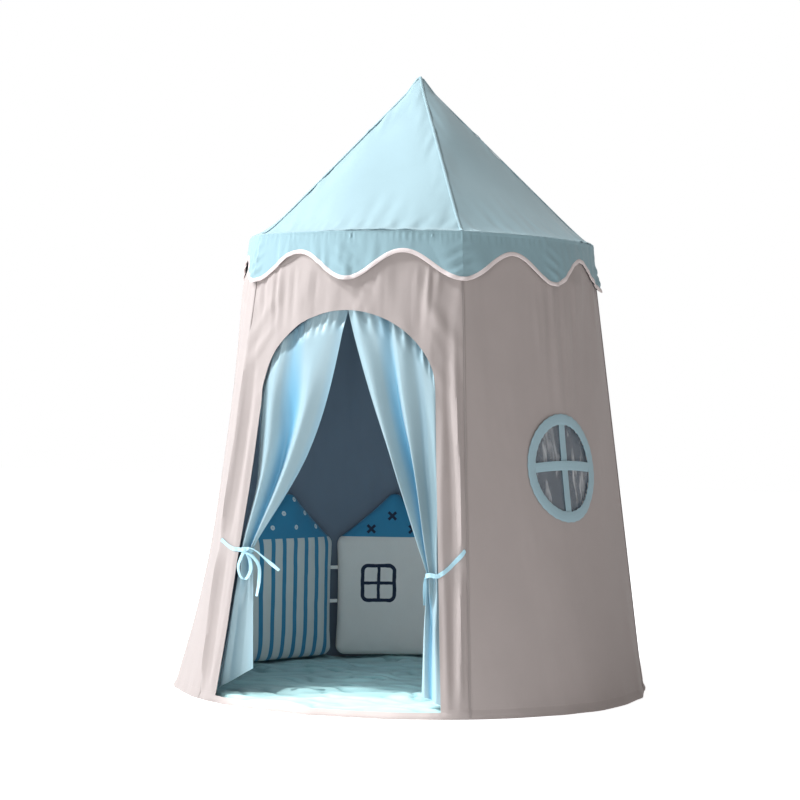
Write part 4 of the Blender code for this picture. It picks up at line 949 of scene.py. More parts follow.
def ridge_height(radius):
    flare = ROOF_FLARE * np.exp((radius - EAVE_RADIUS) / ROOF_FLARE_LENGTH)
    tip = TIP_RISE * np.maximum(0, 1 - radius / TIP_RADIUS)
    return APEX_HEIGHT - TIP_RISE - ROOF_SLOPE * radius + flare + tip


def off_roof(angle, radius, spread, lift):
    """A point that stands off the roof's slope by a lift."""
    return polar(angle, spread + lift * ROOF_SLOPE / ROOF_SLANT, ridge_height(radius) + lift / ROOF_SLANT)


def eave_roll(radius):
    return 0.0016 * bump(radius, EAVE_RADIUS - 0.003, 0.005)


def roof_surface(panel, share_across, radius):
    """A point on the roof's outer face; share_across runs from -1 to 1 between the ridges."""
    angle = share_across * (HALF_PANEL - GAP / 2 / np.maximum(radius, 0.01))
    share = 1 - radius / EAVE_RADIUS
    flatness = ROOF_FLATNESS * np.sin(math.pi * share) + EAVE_FLATNESS * (1 - share)
    x = angle * radius
    to_ridge = (HALF_PANEL - np.abs(angle)) * radius
    loose = eased(to_ridge / 0.06) * eased((radius - 0.03) / 0.08)
    sag = 0.0022 * ripples(140 + panel, 0.20, 0.42)(x, radius) * loose
    pulls = 0.0007 * ripples(160 + panel, 0.030, 0.062, 6.0)(x, radius) * eased((radius - 0.30) / 0.13)
    crease = 0.0005 * ripples(180 + panel, 0.016, 0.030, 2.5)(x, radius) * eased((radius - 0.37) / 0.07)
    tuck = 0.0006 * ripples(200 + panel, 0.02, 0.05, 5.0)(x, radius) * bump(to_ridge, 0, 0.03)
    lift = sag + pulls + crease + tuck + eave_roll(radius)
    return off_roof(panel * PANEL_ANGLE + angle, radius, radius * panel_share(angle, flatness), lift)


eave_rows = np.linspace(EAVE_RADIUS, 0.39, 22)
roof_radii = np.concatenate((eave_rows, np.linspace(0.39, 0.05, 60)[1:], np.linspace(0.05, 0.003, 12)[1:]))
across = np.linspace(-1, 1, 75)[None]
radius = np.broadcast_to(roof_radii[:, None], (len(roof_radii), across.size))
for panel, where in enumerate(PANEL_NAMES):
    uv = stack(across * HALF_PANEL * radius, (EAVE_RADIUS - radius) * ROOF_SLANT)
    roof = make_grid_sheet(f"roof_{where}", roof_surface(panel, across, radius), uv, roof_cloth)
    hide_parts(f"roof_panel_{where}")
    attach(roof, "root")

for number in range(PANEL_COUNT):
    radius = np.linspace(0.008, EAVE_RADIUS - 0.001, 110)
    lift = 0.0002 + 0.0016 * bump(radius, 0.150, 0.006) + eave_roll(radius)
    angle = number * PANEL_ANGLE + HALF_PANEL
    path = off_roof(angle, radius, radius, lift)
    ways = polar(angle + math.pi / 2, 1.0, 0 * radius)
    ridge = make_tape(f"roof_ridge_{number + 1}", path, ways, *RIDGE_TAPE, ridge_cloth, crown=0.7)
    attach(ridge, "root")


# Valance and its binding

def scallop_height(angle):
    middle = (CREST_DROP + TROUGH_DROP) / 2
    return CREASE_HEIGHT - middle - SCALLOP_SWING * np.cos(2 * math.pi * angle / HALF_PANEL)


def binding_rise(angle):
    wave = 2 * math.pi / HALF_PANEL
    return BINDING_WIDTH * np.hypot(1, SCALLOP_SWING * wave * np.sin(wave * angle) / EAVE_RADIUS)


def within_panel(turn):
    return (turn + HALF_PANEL) % PANEL_ANGLE - HALF_PANEL


valance_flutter = ripples(221, 0.05, 0.14, 2.0)
valance_folds = ripples(222, 0.018, 0.040, 5.0)


def valance_radius(turn, height):
    """The valance's outer radius all the way round, with folds that open towards its edge."""
    drop = (CREASE_HEIGHT - height) / TROUGH_DROP
    angle = within_panel(turn)
    at_seam = EAVE_RADIUS + seam_radius(height) - seam_radius(CREASE_HEIGHT)
    radius = at_seam * panel_share(angle, EAVE_FLATNESS) + VALANCE_STAND_OFF * drop
    x, y = EAVE_RADIUS * np.sin(turn), EAVE_RADIUS * np.cos(turn)
    trough = bump(np.abs(within_panel(angle + HALF_PANEL)), 0, 0.06) + bump(np.abs(angle), 0, 0.06)
    flutter = 0.0034 * drop * valance_flutter(x + 0.3 * height, y)
    flutter = flutter + 0.0014 * drop * valance_folds(x + y, height)
    slant = height + 0.55 * EAVE_RADIUS * np.abs(within_panel(angle + HALF_PANEL / 2))
    pull = 0.0024 * eased(drop * 1.6) * trough * np.sin(slant * 2 * math.pi / 0.031)
    small = 0.0007 * valance_folds(3 * x, 3 * y + height) * bump(height, CREASE_HEIGHT - 0.012, 0.014)
    roll = 0.0010 * bump(height, CREASE_HEIGHT - 0.002, 0.004)
    return radius + np.maximum(flutter + pull, -0.0012) + small + roll


for panel, where in enumerate(PANEL_NAMES):
    angle = np.linspace(-1, 1, 121) * (HALF_PANEL - GAP / 2 / EAVE_RADIUS)
    low = scallop_height(angle) + binding_rise(angle) * 0.45
    share = np.linspace(0, 1, 26)[:, None]
    height = low[None] * (1 - share) + (CREASE_HEIGHT - 0.0002) * share
    turn = panel * PANEL_ANGLE + np.broadcast_to(angle, height.shape)
    points, uv = polar(turn, valance_radius(turn, height), height), stack(turn * EAVE_RADIUS, height)
    valance = make_grid_sheet(f"valance_cloth_{where}", points, uv, valance_cloth)
    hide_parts(f"valance_{where}")
    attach(valance, "root")

turn = full_turn(600)
angle = within_panel(turn)
sections = []
for out_share, up_share in soft_section(12, 0.8, 0.6):
    height = scallop_height(angle) + binding_rise(angle) * (0.5 + up_share)
    radius = valance_radius(turn, height) - CLOTH_THICKNESS / 2 + BINDING_THICKNESS * out_share
    sections.append(polar(turn, radius, height))
sections = np.stack(sections, 1)
up = np.array([0.5 + math.sin(way) / 2 for way in ring_turns(12)]) * BINDING_WIDTH
uv = stack(run_length(sections[:, 0])[:, None], up[None])
binding = make_sweep("valance_edge_binding", sections, uv, binding_tape, closed=True)
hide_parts("valance_binding")
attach(binding, "root")

turn = full_turn(480)
eave = EAVE_RADIUS * panel_share(within_panel(turn), EAVE_FLATNESS)
lumps = 0.0002 * ripples(231, 0.02, 0.06)(EAVE_RADIUS * np.sin(turn), EAVE_RADIUS * np.cos(turn))
sections = []
for way in ring_turns(8):
    out = -0.0006 + 0.0016 * math.cos(way) + lumps
    sections.append(polar(turn, eave + out, CREASE_HEIGHT + 0.0018 * math.sin(way) + lumps))
uv = stack((turn * EAVE_RADIUS)[:, None], np.linspace(0, 0.012, len(sections))[None])
eave_seam = make_sweep("eave_seam", np.stack(sections, 1), uv, ridge_cloth, closed=True)
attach(eave_seam, "root")


# Window

def window_surface(across, up, lift):
    """A point on the window's wall, by distance along the cloth from the window's middle."""
    height = WINDOW_HEIGHT + up
    angle = across / wall_radius(0.0, WINDOW_HEIGHT)
    x = angle * seam_radius(height)
    relief = np.maximum(wall_relief(1, x, height, HALF_PANEL * seam_radius(height)), 0)
    return polar(PANEL_ANGLE + angle, wall_radius(angle, height) + relief + lift, height)


turn = full_turn(120)
out, rise = soft_section(14, 0.5, 0.8).T
radius = (WINDOW_RADIUS + (out - 0.5) * WINDOW_TAPE)[None] * (1 + 0.006 * np.sin(turn * 37))[:, None]
lift = 0.0018 + rise * 0.0022 + 0.0008 * (1 - (2 * out) ** 2)
points = window_surface(np.cos(turn)[:, None] * radius, np.sin(turn)[:, None] * radius, lift[None])
uv = stack(turn[:, None] * WINDOW_RADIUS, (out * WINDOW_TAPE)[None])
ring = make_sweep("window_tape_ring", points, uv, window_tape, closed=True)
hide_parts("window_ring")
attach(ring, "root")

reach = WINDOW_RADIUS - WINDOW_TAPE + 0.006
places = np.linspace(-reach, reach, 60)
arch = 0.006 * (1 - (places / reach) ** 2)
level_path = window_surface(places, arch, 0.0012 + 0.0010 * bump(places, 0, 0.02))
level_ways = [(0, 0, 1)] * len(places)
sizes = WINDOW_BAR_LEVEL, WINDOW_BAR_THICKNESS
level_bar = make_tape("window_bar_level", level_path, level_ways, *sizes, window_tape)
upright_path = window_surface(0.003 * np.sin(places * 9), places, 0.0002)
upright_ways = polar(PANEL_ANGLE + math.pi / 2 + 0 * places, 1.0, 0.0)
sizes = WINDOW_BAR_UPRIGHT, WINDOW_BAR_THICKNESS
upright_bar = make_tape("window_bar_upright", upright_path, upright_ways, *sizes, window_tape)
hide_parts("window_muntins")
for bar in (level_bar, upright_bar):
    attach(bar, "root")

rings = np.linspace(0.0008, WINDOW_RADIUS - 0.004, 34)[:, None]
across, up = np.cos(turn)[None] * rings, np.sin(turn)[None] * rings
lift = -0.0050 - 0.0007 * ripples(241, 0.020, 0.060, 3.0)(across, up) * eased((WINDOW_RADIUS - rings) / 0.03)
points, uv = window_surface(across, up, lift), stack(across, up)
faces = grid_faces(*across.shape, around=True)
pane = make_sheet("window_clear_film", points, faces, uv, window_film, thickness=FILM_THICKNESS)
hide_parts("window_pane")
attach(pane, "root")


# Curtains

def inner_face_depth(x, height):
    angle = np.arcsin(np.clip(x / seam_radius(height), -1, 1))
    angle = np.arcsin(np.clip(x / wall_radius(angle, height), -1, 1))
    return -(wall_radius(angle, height) - 0.0050) * np.cos(angle)


def fold_wave(u, knots):
    """Folds across the cloth, from -1 in front to 1 behind, eased from one knot to the next."""
    u = np.clip(u, 0, 1)
    depth = np.zeros_like(u)
    for (first, low), (last, high) in zip(knots, knots[1:]):
        share = eased((u - first) / (last - first))
        depth = np.where(u >= first, low + (high - low) * share, depth)
    return depth


def curtain(body, side, waist, edge_bow, tail_lift, seed, tail_spread, lean, knots, tail_knots):
    """A tied half curtain: u runs from its free edge to the jamb, and v away from its waist."""
    columns, head_rows, tail_rows, band_rows = 168, 104, 52, 4
    u = np.linspace(0, 1, columns)[None]
    wave = fold_wave(u, knots)
    waist_x = -WAIST_RADIUS * np.cos(math.pi * u)
    bunch = np.maximum(WAIST_RADIUS * np.sin(math.pi * u), 0.0012) * 0.93
    band = TIE_WIDTH / 2
    gathers = ripples(seed + 1, 0.050, 0.085, 1.0, 6)
    pleats = ripples(seed + 4, 0.13, 0.22, 1.0, 5)
    drift = ripples(seed + 2, 0.5, 1.1, 1.0)
    crumple = ripples(seed + 3, 0.06, 0.14, 5.0)

    # From the waist up to the arch
    v = (np.linspace(0, 1, head_rows) ** 1.25)[:, None]
    opening = eased(v / 0.40)
    turn = math.pi / 2 * (1 - u)
    head_z = ARCH_SPRING + (ARCH_RISE + 0.004) * np.sin(turn)
    jamb = jamb_angle(head_z)
    half_width = wall_radius(jamb, head_z) * np.sin(jamb) + 0.004
    head_x = np.maximum(half_width * np.cos(turn), 0.001)
    shifted = u + 0.020 * drift(u * 2, v) * v * (1 - v) * 4 * u * (1 - u) * 4
    head_wave = fold_wave(shifted, knots)
    depth = blend(0.050, 0.008, eased(v) ** 2)
    edge_reach = np.maximum(0, waist_x) * (1 - v) * opening
    gather_share = eased((v - 0.89) / 0.10)
    x = blend(waist.x + waist_x, head_x, v) - edge_bow * (1 - u) * np.sin(math.pi * v)
    y = blend(waist.y, inner_face_depth(head_x, head_z), v)
    y = y + opening * depth * (1 + head_wave) / 2 + (1 - opening) * bunch * wave + 0.5 * edge_reach
    y = y + 0.0034 * gather_share * (1 + gathers(u, 0.10 * v))
    y = y + 0.0012 * eased((v - 0.70) / 0.3) * (1 + pleats(u, 0.08 * v))
    y = y + 0.0005 * crumple(x, v * 0.4) * opening * (1 - gather_share)
    head = stack(x, y, blend(waist.z + band, head_z, v))
    head_fold_shade = np.clip(head_wave, 0, 1) * (1 - 0.6 * eased((v - 0.6) / 0.4)) + 0 * v

    # From the hem up to the waist
    v = np.linspace(0, 1, tail_rows)[::-1][:, None]
    opening = eased(v / 0.50)
    foot_x = blend(-WAIST_RADIUS - tail_spread[0], tail_spread[1], u)
    hem = MAT_TOP + 0.004 + tail_lift * (1 - u)
    shifted = u + 0.03 * drift(u * 2 + 5, v) * v * 4 * u * (1 - u)
    tail_wave = blend(wave, fold_wave(shifted, tail_knots), eased(v / 0.25))
    x = blend(waist.x + waist_x, waist.x + foot_x, v)
    y = waist.y - lean * u * v + opening * 0.0095 * tail_wave * (1.1 - 0.45 * v)
    y = y + (1 - opening) * bunch * wave + 0.0008 * crumple(x, v * 0.3 + 2) * opening
    tail = stack(x, y, blend(waist.z - band, hem, v))
    tail_fold_shade = np.clip(tail_wave, 0, 1) + 0 * v

    z = np.linspace(waist.z - band, waist.z + band, band_rows + 2)[1:-1][:, None]
    middle = stack(waist.x + waist_x, waist.y + bunch * wave, z)
    points = np.concatenate((tail, middle, head))
    points[..., 0] *= side
    uv = stack(u * 0.42, run_length(points[:, columns // 2])[:, None])
    reverse = side < 0
    cloth = make_grid_sheet(f"{body}_cloth", points, uv, curtain_cloth, CURTAIN_THICKNESS, reverse)
    # How deep each point lies in a fold, for the curtain's painted fold shade.
    folds = np.concatenate((tail_fold_shade, np.clip(wave, 0, 1) + 0 * z, head_fold_shade))
    write_fold_shade_layer(cloth.data, np.tile(folds.ravel(), 2))
    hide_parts(body)
    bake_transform(cloth)


curtain(
    "right_curtain",
    side=1,
    waist=RIGHT_WAIST,
    edge_bow=0.014,
    tail_lift=0.020,
    seed=301,
    tail_spread=(0.006, 0.040),
    lean=0.017,
    knots=((0, 0.1), (0.07, -0.9), (0.29, 1), (0.37, -0.8), (0.56, 0.25), (0.80, -0.5), (1, 0.2)),
    tail_knots=((0, -0.7), (0.10, -0.9), (0.36, 0.9), (0.66, -0.9), (1, 0.2)),
)
curtain(
    "left_curtain",
    side=-1,
    waist=Vector((-LEFT_WAIST.x, LEFT_WAIST.y, LEFT_WAIST.z)),
    edge_bow=0.036,
    tail_lift=0.055,
    seed=311,
    tail_spread=(0.006, 0.074),
    lean=0.0,
    knots=((0, 0.4), (0.20, -0.7), (0.43, 1), (0.66, -0.8), (0.86, -0.1), (1, 0.5)),
    tail_knots=((0, 0.1), (0.30, -0.15), (0.62, 0.1), (0.86, -0.9), (1, 0.3)),
)


# Ties

def wall_outward(angle, height):
    step = 0.02
    ahead = Vector(wall_surface(0, angle + step, height))
    behind = Vector(wall_surface(0, angle - step, height))
    along = (ahead - behind).normalized()
    return Vector((along.y, -along.x, 0)).normalized()


def tie_strap(name, side, waist):
    """The tape from the seam, across the jamb and round the curtain's waist."""
    start_angle = HALF_PANEL - 0.009
    end_angle = jamb_angle(waist.z)
    path, ways = [], []
    for share in np.linspace(0, 1, 16):
        height = blend(TIE_SEAM_HEIGHT, waist.z, share) - 0.006 * math.sin(math.pi * share)
        angle = side * blend(start_angle, end_angle, share)
        point = Vector(wall_surface(0, angle, height)) + wall_outward(angle, height) * TIE_STAND_OFF
        path.append(Vector((side * point.x, point.y, point.z)))
        ways.append((0, -0.12, 1))
    centre = Vector((abs(waist.x), waist.y, waist.z))
    leave = path[-1] - centre
    start_turn = math.atan2(leave.y, leave.x)
    for share in np.linspace(0.06, 1, 40):
        turn = start_turn - STRAP_WRAP * share
        away = blend(leave.length, WAIST_RADIUS + TIE_STAND_OFF, min(1, share / 0.10))
        place = (math.cos(turn) * away, math.sin(turn) * away, 0.0015 * math.sin(3 * turn))
        path.append(centre + Vector(place))
        ways.append((0, 0, 1))
    path = smooth_path(path, STRAP_STEPS)
    path[:, 0] *= side
    given, wanted = np.linspace(0, 1, len(ways)), np.linspace(0, 1, STRAP_STEPS)
    ways = stack(*[np.interp(wanted, given, part) for part in zip(*ways)])
    tape = make_tape(name, path, ways, STRAP_WIDTH, STRAP_THICKNESS, tie_tape)
    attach(tape, "root")
    return tape


def knot(name, centre, outward, size):
    """A small soft knot: a crossed wrap over a lump."""
    along = Vector((-outward.y, outward.x, 0))
    frame_axes = Matrix((along, outward, Vector((0, 0, 1)))).transposed().to_4x4()
    work = bmesh.new()
    bmesh.ops.create_icosphere(work, subdivisions=4, radius=1)
    lumps = ripples(331, 0.9, 1.6)
    for vert in work.verts:
        x, y, z = vert.co
        push = 1 + 0.10 * math.cos(7 * (x * 0.8 + z * 0.6)) + 0.05 * float(lumps(x, z))
        vert.co = Vector((x * size[0], y * size[1], z * size[2])) * push
    bmesh.ops.transform(work, matrix=Matrix.Translation(centre) @ frame_axes, verts=work.verts)
    mesh = bpy.data.meshes.new(name)
    work.to_mesh(mesh)
    work.free()
    write_layer(mesh, "cloth", [(vert.co.x, vert.co.z) for vert in mesh.vertices])
    mesh.materials.append(tie_tape)
    mesh.shade_smooth()
    piece = put_in_scene(name, mesh)
    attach(piece, "root")


def tie_tail(name, points, outward, twist):
    """A free end of the tape, as a cord of its own."""
    path = smooth_path(points, TAIL_STEPS)
    turn = twist * np.sin(np.linspace(0, math.pi * 1.4, TAIL_STEPS))
    level = np.array((-outward.y, outward.x, 0))
    ways = np.cos(turn)[:, None] * level + np.sin(turn)[:, None] * np.array(outward)
    tape = make_tape(name, path, ways, TAIL_WIDTH, TAIL_THICKNESS, tie_tape)
    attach(tape, "root")
    path_length(path)


right_strap = tie_strap("right_tie_strap", 1, RIGHT_WAIST)
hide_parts("right_tie")
left_strap = tie_strap("left_tie_strap", -1, LEFT_WAIST)
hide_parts("left_tie")


def around_waist(waist, side, turn_back):
    """A knot's place on the tie's ring and the way out of it, a turn back from where the strap meets it."""
    outward = wall_outward(side * jamb_angle(waist.z), waist.z)
    outward = Matrix.Rotation(-side * turn_back, 3, "Z") @ outward
    return Vector(waist) + outward * (WAIST_RADIUS + TIE_STAND_OFF + 0.004), outward


centre, outward = around_waist(LEFT_WAIST, -1, math.radians(22))
knot("left_tie_knot", centre, outward, (0.0075, 0.0050, 0.0070))
door = Vector((-outward.y, outward.x, 0))
if door.x < 0:
    door = -door


def bow_strip(shares, across, drop, stand_off):
    """Points from the left knot, as shares of the way to the door and down, and lengths outwards."""
    start = centre + outward * stand_off
    down = Vector((0, 0, -drop))
    return [start + door * (a * across) + down * d + outward * o for a, d, o in shares]


LOOP_SHARES = (
    (0, 0, 0), (-0.26, 0.28, 0.002), (-0.46, 0.62, 0.003), (-0.22, 0.97, 0.003),
    (0.20, 0.99, 0.003), (0.52, 0.68, 0.003), (0.40, 0.30, 0.002), (0.08, 0.02, 0),
)
LONG_SHARES = ((0, 0, 0), (0.16, -0.05, 0.003), (0.36, 0.02, 0.004), (0.62, 0.20, 0.003), (1, 0.46, 0))
SHORT_SHARES = ((0, 0.04, 0), (0.24, 0.12, 0.002), (0.46, 0.34, 0.002), (0.47, 0.66, 0), (0.40, 1.02, 0))
tie_tail("left_tie_loop", bow_strip(LOOP_SHARES, 0.032, 0.068, 0.001), outward, 0.5)
tie_tail("left_tie_long_tail", bow_strip(LONG_SHARES, 0.088, 0.100, 0.003), outward, 0.7)
tie_tail("left_tie_short_tail", bow_strip(SHORT_SHARES, 0.080, 0.108, 0.001), outward, -0.6)

centre, outward = around_waist(RIGHT_WAIST, 1, math.radians(153))
knot("right_tie_knot", centre, outward, (0.0070, 0.0048, 0.0068))
level = Vector((-outward.y, outward.x, 0))
HANG_STEPS = ((0.003, 0.002, 0), (0.008, 0.007, 0.012), (0.010, 0.007, 0.040), (0.009, 0.006, 0.072))
for number, way in enumerate((-1, 1)):
    hang = [
        centre + level * (way * aside) + outward * out - Vector((0, 0, drop))
        for aside, out, drop in HANG_STEPS
    ]
    tie_tail(f"right_tie_tail_{number + 1}", hang, outward, 0.3 * way)


# Mat

def mat_surface():
    """The mat's points, and how deep in a valley each lies: two rings at its foot, then in from its edge."""
    r = MAT_RADIUS * np.linspace(0.002, 1, MAT_RINGS)[:, None]
    turn = full_turn(MAT_SIDES)[None]
    x, y = r * np.sin(turn), -r * np.cos(turn)
    wander = ripples(401, 0.16, 0.42, 1.0)
    fine = ripples(402, 0.05, 0.12, 1.0)
    phase = (y + 0.18 * x + 0.026 * wander(x, y) + 0.006 * fine(x, y)) / MAT_CHANNEL
    swell = 1 - np.abs(np.sin(math.pi * phase)) ** 0.8
    swell = 1 - swell**1.3
    strength = np.clip(0.75 + 0.35 * ripples(403, 0.15, 0.35)(x, y), 0.35, 1.15)
    edge = np.clip((MAT_RADIUS - r) / 0.022, 0, 1)
    crease = ripples(404, 0.030, 0.065, 1.0)(0.35 * x, y + 0.010 * wander(x, y))
    top = MAT_TOP - 0.0105 * (1 - swell * strength) + 0.0016 * crease
    dome = np.sqrt(np.clip(1 - (1 - edge) ** 2.2, 0, 1))
    z = 0.006 + (np.minimum(top, MAT_TOP + 0.001) - 0.006) * dome
    foot = [stack(x[-1] * inset, y[-1] * inset, height) for inset, height in ((0.992, 0.0005), (1, 0.003))]
    # How deep each point lies in a valley, for the painted shade in the mat's channels and creases.
    valley = np.clip(1 - swell * 1.25, 0, 1) * strength + 0.22 * np.clip(-crease, 0, 1)
    valley = np.concatenate((np.zeros((2, MAT_SIDES)), np.clip(valley, 0, 1)[::-1]))
    return np.concatenate((foot, stack(x, y, z)[::-1])), valley


points, valley = mat_surface()
mesh = new_mesh("quilted_mat", points, sweep_faces(*valley.shape), (mat_cloth,), points[..., :2])
write_fold_shade_layer(mesh, valley)
mesh.shade_smooth()
mat = put_in_scene("quilted_mat", mesh)
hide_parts("floor_mat")
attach(mat, "root")


# Cushions

def house_outline():
    """The cushion's seam, a house with rounded corners and sides drawn in a little."""
    round_steps, side_steps = 6, 12
    inset, radius = CUSHION_SEAM_INSET, CUSHION_CORNER_RADIUS
    half, top = CUSHION_WIDTH / 2 - inset, CUSHION_BODY + CUSHION_GABLE - inset * 1.4
    corners = [(-half, inset), (half, inset), (half, CUSHION_BODY), (0, top), (-half, CUSHION_BODY)]
    corners = [Vector(corner) for corner in corners]
    outline = []
    for i, corner in enumerate(corners):
        following = corners[(i + 1) % len(corners)]
        before = (corners[i - 1] - corner).normalized()
        after = (following - corner).normalized()
        opening = before.angle(after)
        centre = corner + (before + after).normalized() * (radius / math.sin(opening / 2))
        first = corner + before * (radius / math.tan(opening / 2)) - centre
        for k in range(round_steps + 1):
            outline.append(centre + Matrix.Rotation((math.pi - opening) * k / round_steps, 2) @ first)
        inward = Vector((-after.y, after.x)) * (0 if i == 0 else CUSHION_SIDE_DRAW)
        for share in (k / side_steps for k in range(1, side_steps)):
            outline.append(corner.lerp(following, share) + inward * math.sin(math.pi * share))
    return outline


def edge_distance(places, outline):
    """How far each flat point is from the nearest side of a closed outline."""
    corners = np.array([tuple(corner) for corner in outline])
    nearest = np.full(len(places), 1.0)
    for start, end in zip(corners, np.roll(corners, -1, axis=0)):
        along = end - start
        share = np.clip((places - start) @ along / max(along @ along, 1e-12), 0, 1)
        nearest = np.minimum(nearest, np.linalg.norm(places - start - share[:, None] * along, axis=1))
    return nearest


def shaped_mesh(piece):
    """The piece's mesh as its modifiers leave it."""
    return bpy.data.meshes.new_from_object(piece.evaluated_get(bpy.context.evaluated_depsgraph_get()))


def read_places(mesh):
    places = np.empty(len(mesh.vertices) * 3, np.float32)
    mesh.vertices.foreach_get("co", places)
    return places.reshape(-1, 3)


def puffed_places(piece, before):
    last_frame = 20
    puff = piece.modifiers.new("puff", "CLOTH")
    puff.settings.use_pressure = True
    puff.settings.uniform_pressure_force = 1.2
    puff.settings.quality = 6
    puff.settings.tension_stiffness = 18
    puff.settings.compression_stiffness = 18
    puff.settings.bending_stiffness = 0.6
    puff.settings.effector_weights.gravity = 0
    puff.point_cache.frame_start, puff.point_cache.frame_end = 1, last_frame
    for step in range(1, last_frame + 1):
        bpy.context.scene.frame_set(step)
    move = read_places(shaped_mesh(piece)) - before
    piece.modifiers.clear()
    bpy.context.scene.frame_set(1)
    far = np.linalg.norm(move, axis=1, keepdims=True)
    return before + move * np.minimum(1, CUSHION_MOST_PUFF / np.maximum(far, 1e-9))


def stuffed(name, centre_angle, finish, seed):
    """A house-shaped cushion, filled by a short cloth simulation in its own flat frame."""
    outline = house_outline()
    half_start = CUSHION_HALF_START
    work = bmesh.new()
    back, front = ([work.verts.new((p.x, side * half_start, p.y)) for p in outline] for side in (-1, 1))
    for i in range(len(outline)):
        work.faces.new((back[i - 1], back[i], front[i], front[i - 1]))
    work.faces.new(back[::-1])
    work.faces.new(front)
    bmesh.ops.recalc_face_normals(work, faces=work.faces)
    mesh = bpy.data.meshes.new(name)
    work.to_mesh(mesh)
    work.free()
    piece = put_in_scene(name, mesh)
    remesh = piece.modifiers.new("even", "REMESH")
    remesh.mode = "VOXEL"
    remesh.voxel_size = CUSHION_VOXEL
    shaped = shaped_mesh(piece)
    piece.modifiers.clear()
    piece.data = shaped
    before = read_places(shaped)
    after = puffed_places(piece, before)

    # The crown follows the distance from the seam, and the cloth keeps a little of its own puff
    half_depth = CUSHION_THICKNESS / 2
    inward_share = np.clip(edge_distance(before[:, [0, 2]], outline) / (CUSHION_WIDTH / 2), 0, 1)
    crown = np.sqrt(1 - (1 - inward_share) ** CUSHION_CROWN_POWER)
    firm = np.clip(before[:, 1] / half_start, -1, 1) * blend(CUSHION_EDGE_THICKNESS / 2, half_depth, crown)
    after = blend(after, stack(before[:, 0], firm, before[:, 2]), 0.85)
    soft = ripples(seed, 0.05, 0.13)(after[:, 0], after[:, 2])
    fine = ripples(seed + 1, 0.018, 0.040)(after[:, 0], after[:, 2])
    side_share = np.clip(after[:, 1] / half_depth, -1, 1)
    after[:, 1] += side_share * (0.0005 * soft + 0.00020 * fine)
    seam = bump(after[:, 2], CUSHION_PRINT_LINE, 0.0045)
    after[:, 1] -= np.sign(after[:, 1]) * 0.0022 * seam * np.abs(side_share)
    after[:, 1] = np.clip(after[:, 1], -half_depth, half_depth)
    after[:, 0] = np.clip(after[:, 0], -CUSHION_WIDTH / 2, CUSHION_WIDTH / 2)
    after[:, 2] = np.maximum(after[:, 2], 0.0)
    shaped.vertices.foreach_set("co", after.astype(np.float32).ravel())
    smoother = piece.modifiers.new("smooth", "SUBSURF")
    smoother.levels = smoother.render_levels = 1
    final = shaped_mesh(piece)
    piece.modifiers.clear()
    piece.data = final

    write_layer(final, "cloth", read_places(final)[:, [0, 2]])
    origin = Vector(polar(centre_angle, CUSHION_DISTANCE, MAT_TOP + GAP))
    across = Vector((-math.cos(centre_angle), -math.sin(centre_angle), 0))
    inward = Vector(polar(centre_angle, -1.0, 0.0))
    pose = Matrix((across, -inward, Vector((0, 0, 1)))).transposed().to_4x4()
    final.transform(Matrix.Translation(origin) @ pose)
    final.materials.clear()
    final.materials.append(finish)
    final.shade_smooth()
    return piece


striped = stuffed("striped_cushion", CUSHION_JOIN_ANGLE + CUSHION_HALF_ANGLE, striped_cloth, 421)
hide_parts("striped_house_cushion")
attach(striped, "root")
drawn = stuffed("window_cushion", CUSHION_JOIN_ANGLE - CUSHION_HALF_ANGLE, pale_cloth, 431)
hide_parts("window_house_cushion")
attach(drawn, "window_house_cushion")

for label, height in zip(("lower", "upper"), CUSHION_TIE_HEIGHTS):
    ends = []
    for side in (1, -1):
        angle = CUSHION_JOIN_ANGLE + side * CUSHION_HALF_ANGLE
        across = Vector((math.cos(angle), math.sin(angle), 0)) * -side
        foot = Vector(polar(angle, CUSHION_DISTANCE, MAT_TOP + height))
        ends.append(foot + across * (CUSHION_WIDTH / 2 - 0.008))
    inward = Vector(polar(CUSHION_JOIN_ANGLE, -1.0, 0.0))
    path = smooth_path([ends[0], (ends[0] + ends[1]) / 2 + inward * 0.001, ends[1]], 24)
    ways = [(0, 0, 1)] * len(path)
    sizes = CUSHION_TAPE_WIDTH, CUSHION_TAPE_THICKNESS
    tape = make_tape(f"cushion_tape_{label}", path, ways, *sizes, white_tape)
    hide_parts(f"cushion_tie_{label}")
    tuple(ends[0])
    tuple(ends[1])
    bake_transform(tape)


# Finishes of the frame's own pieces

for name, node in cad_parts.items():
    if node.hide_render:
        continue
    finish = grey_plastic
    if name.startswith(("post", "rafter")):
        finish = white_pole
    elif "hoop" in name:
        finish = grey_rod
    for slot in node.material_slots:
        slot.material = finish


# Floor, camera and light

def seen_by_camera(tree):
    return signals(tree, tree.nodes.new("ShaderNodeLightPath"))["Is Camera Ray"]


FLOOR_HALF = 14
FLOOR_DROP = 0.0004
floor_mesh = bpy.data.meshes.new("floor")
floor_corners = [(x * FLOOR_HALF, y * FLOOR_HALF, 0) for x, y in ((-1, -1), (1, -1), (1, 1), (-1, 1))]
floor_mesh.from_pydata(floor_corners, [], [(0, 1, 2, 3)])
floor = put_in_scene("floor", floor_mesh)
floor.location.z = -FLOOR_DROP
floor_finish, floor_tree, floor_shader = new_material("floor_pale")
floor_shader.inputs["Base Color"].default_value = (0.93, 0.93, 0.93, 1)
floor_shader.inputs["Roughness"].default_value = 0.9
floor_shader.inputs["Specular IOR Level"].default_value = 0.1
floor_shader.inputs["Emission Color"].default_value = (1, 1, 1, 1)
floor_glow = map_range(seen_by_camera(floor_tree), 0, 1, 0.15, 0.75, smooth=False)
plug(floor_shader.inputs["Emission Strength"], floor_glow)
floor_mesh.materials.append(floor_finish)

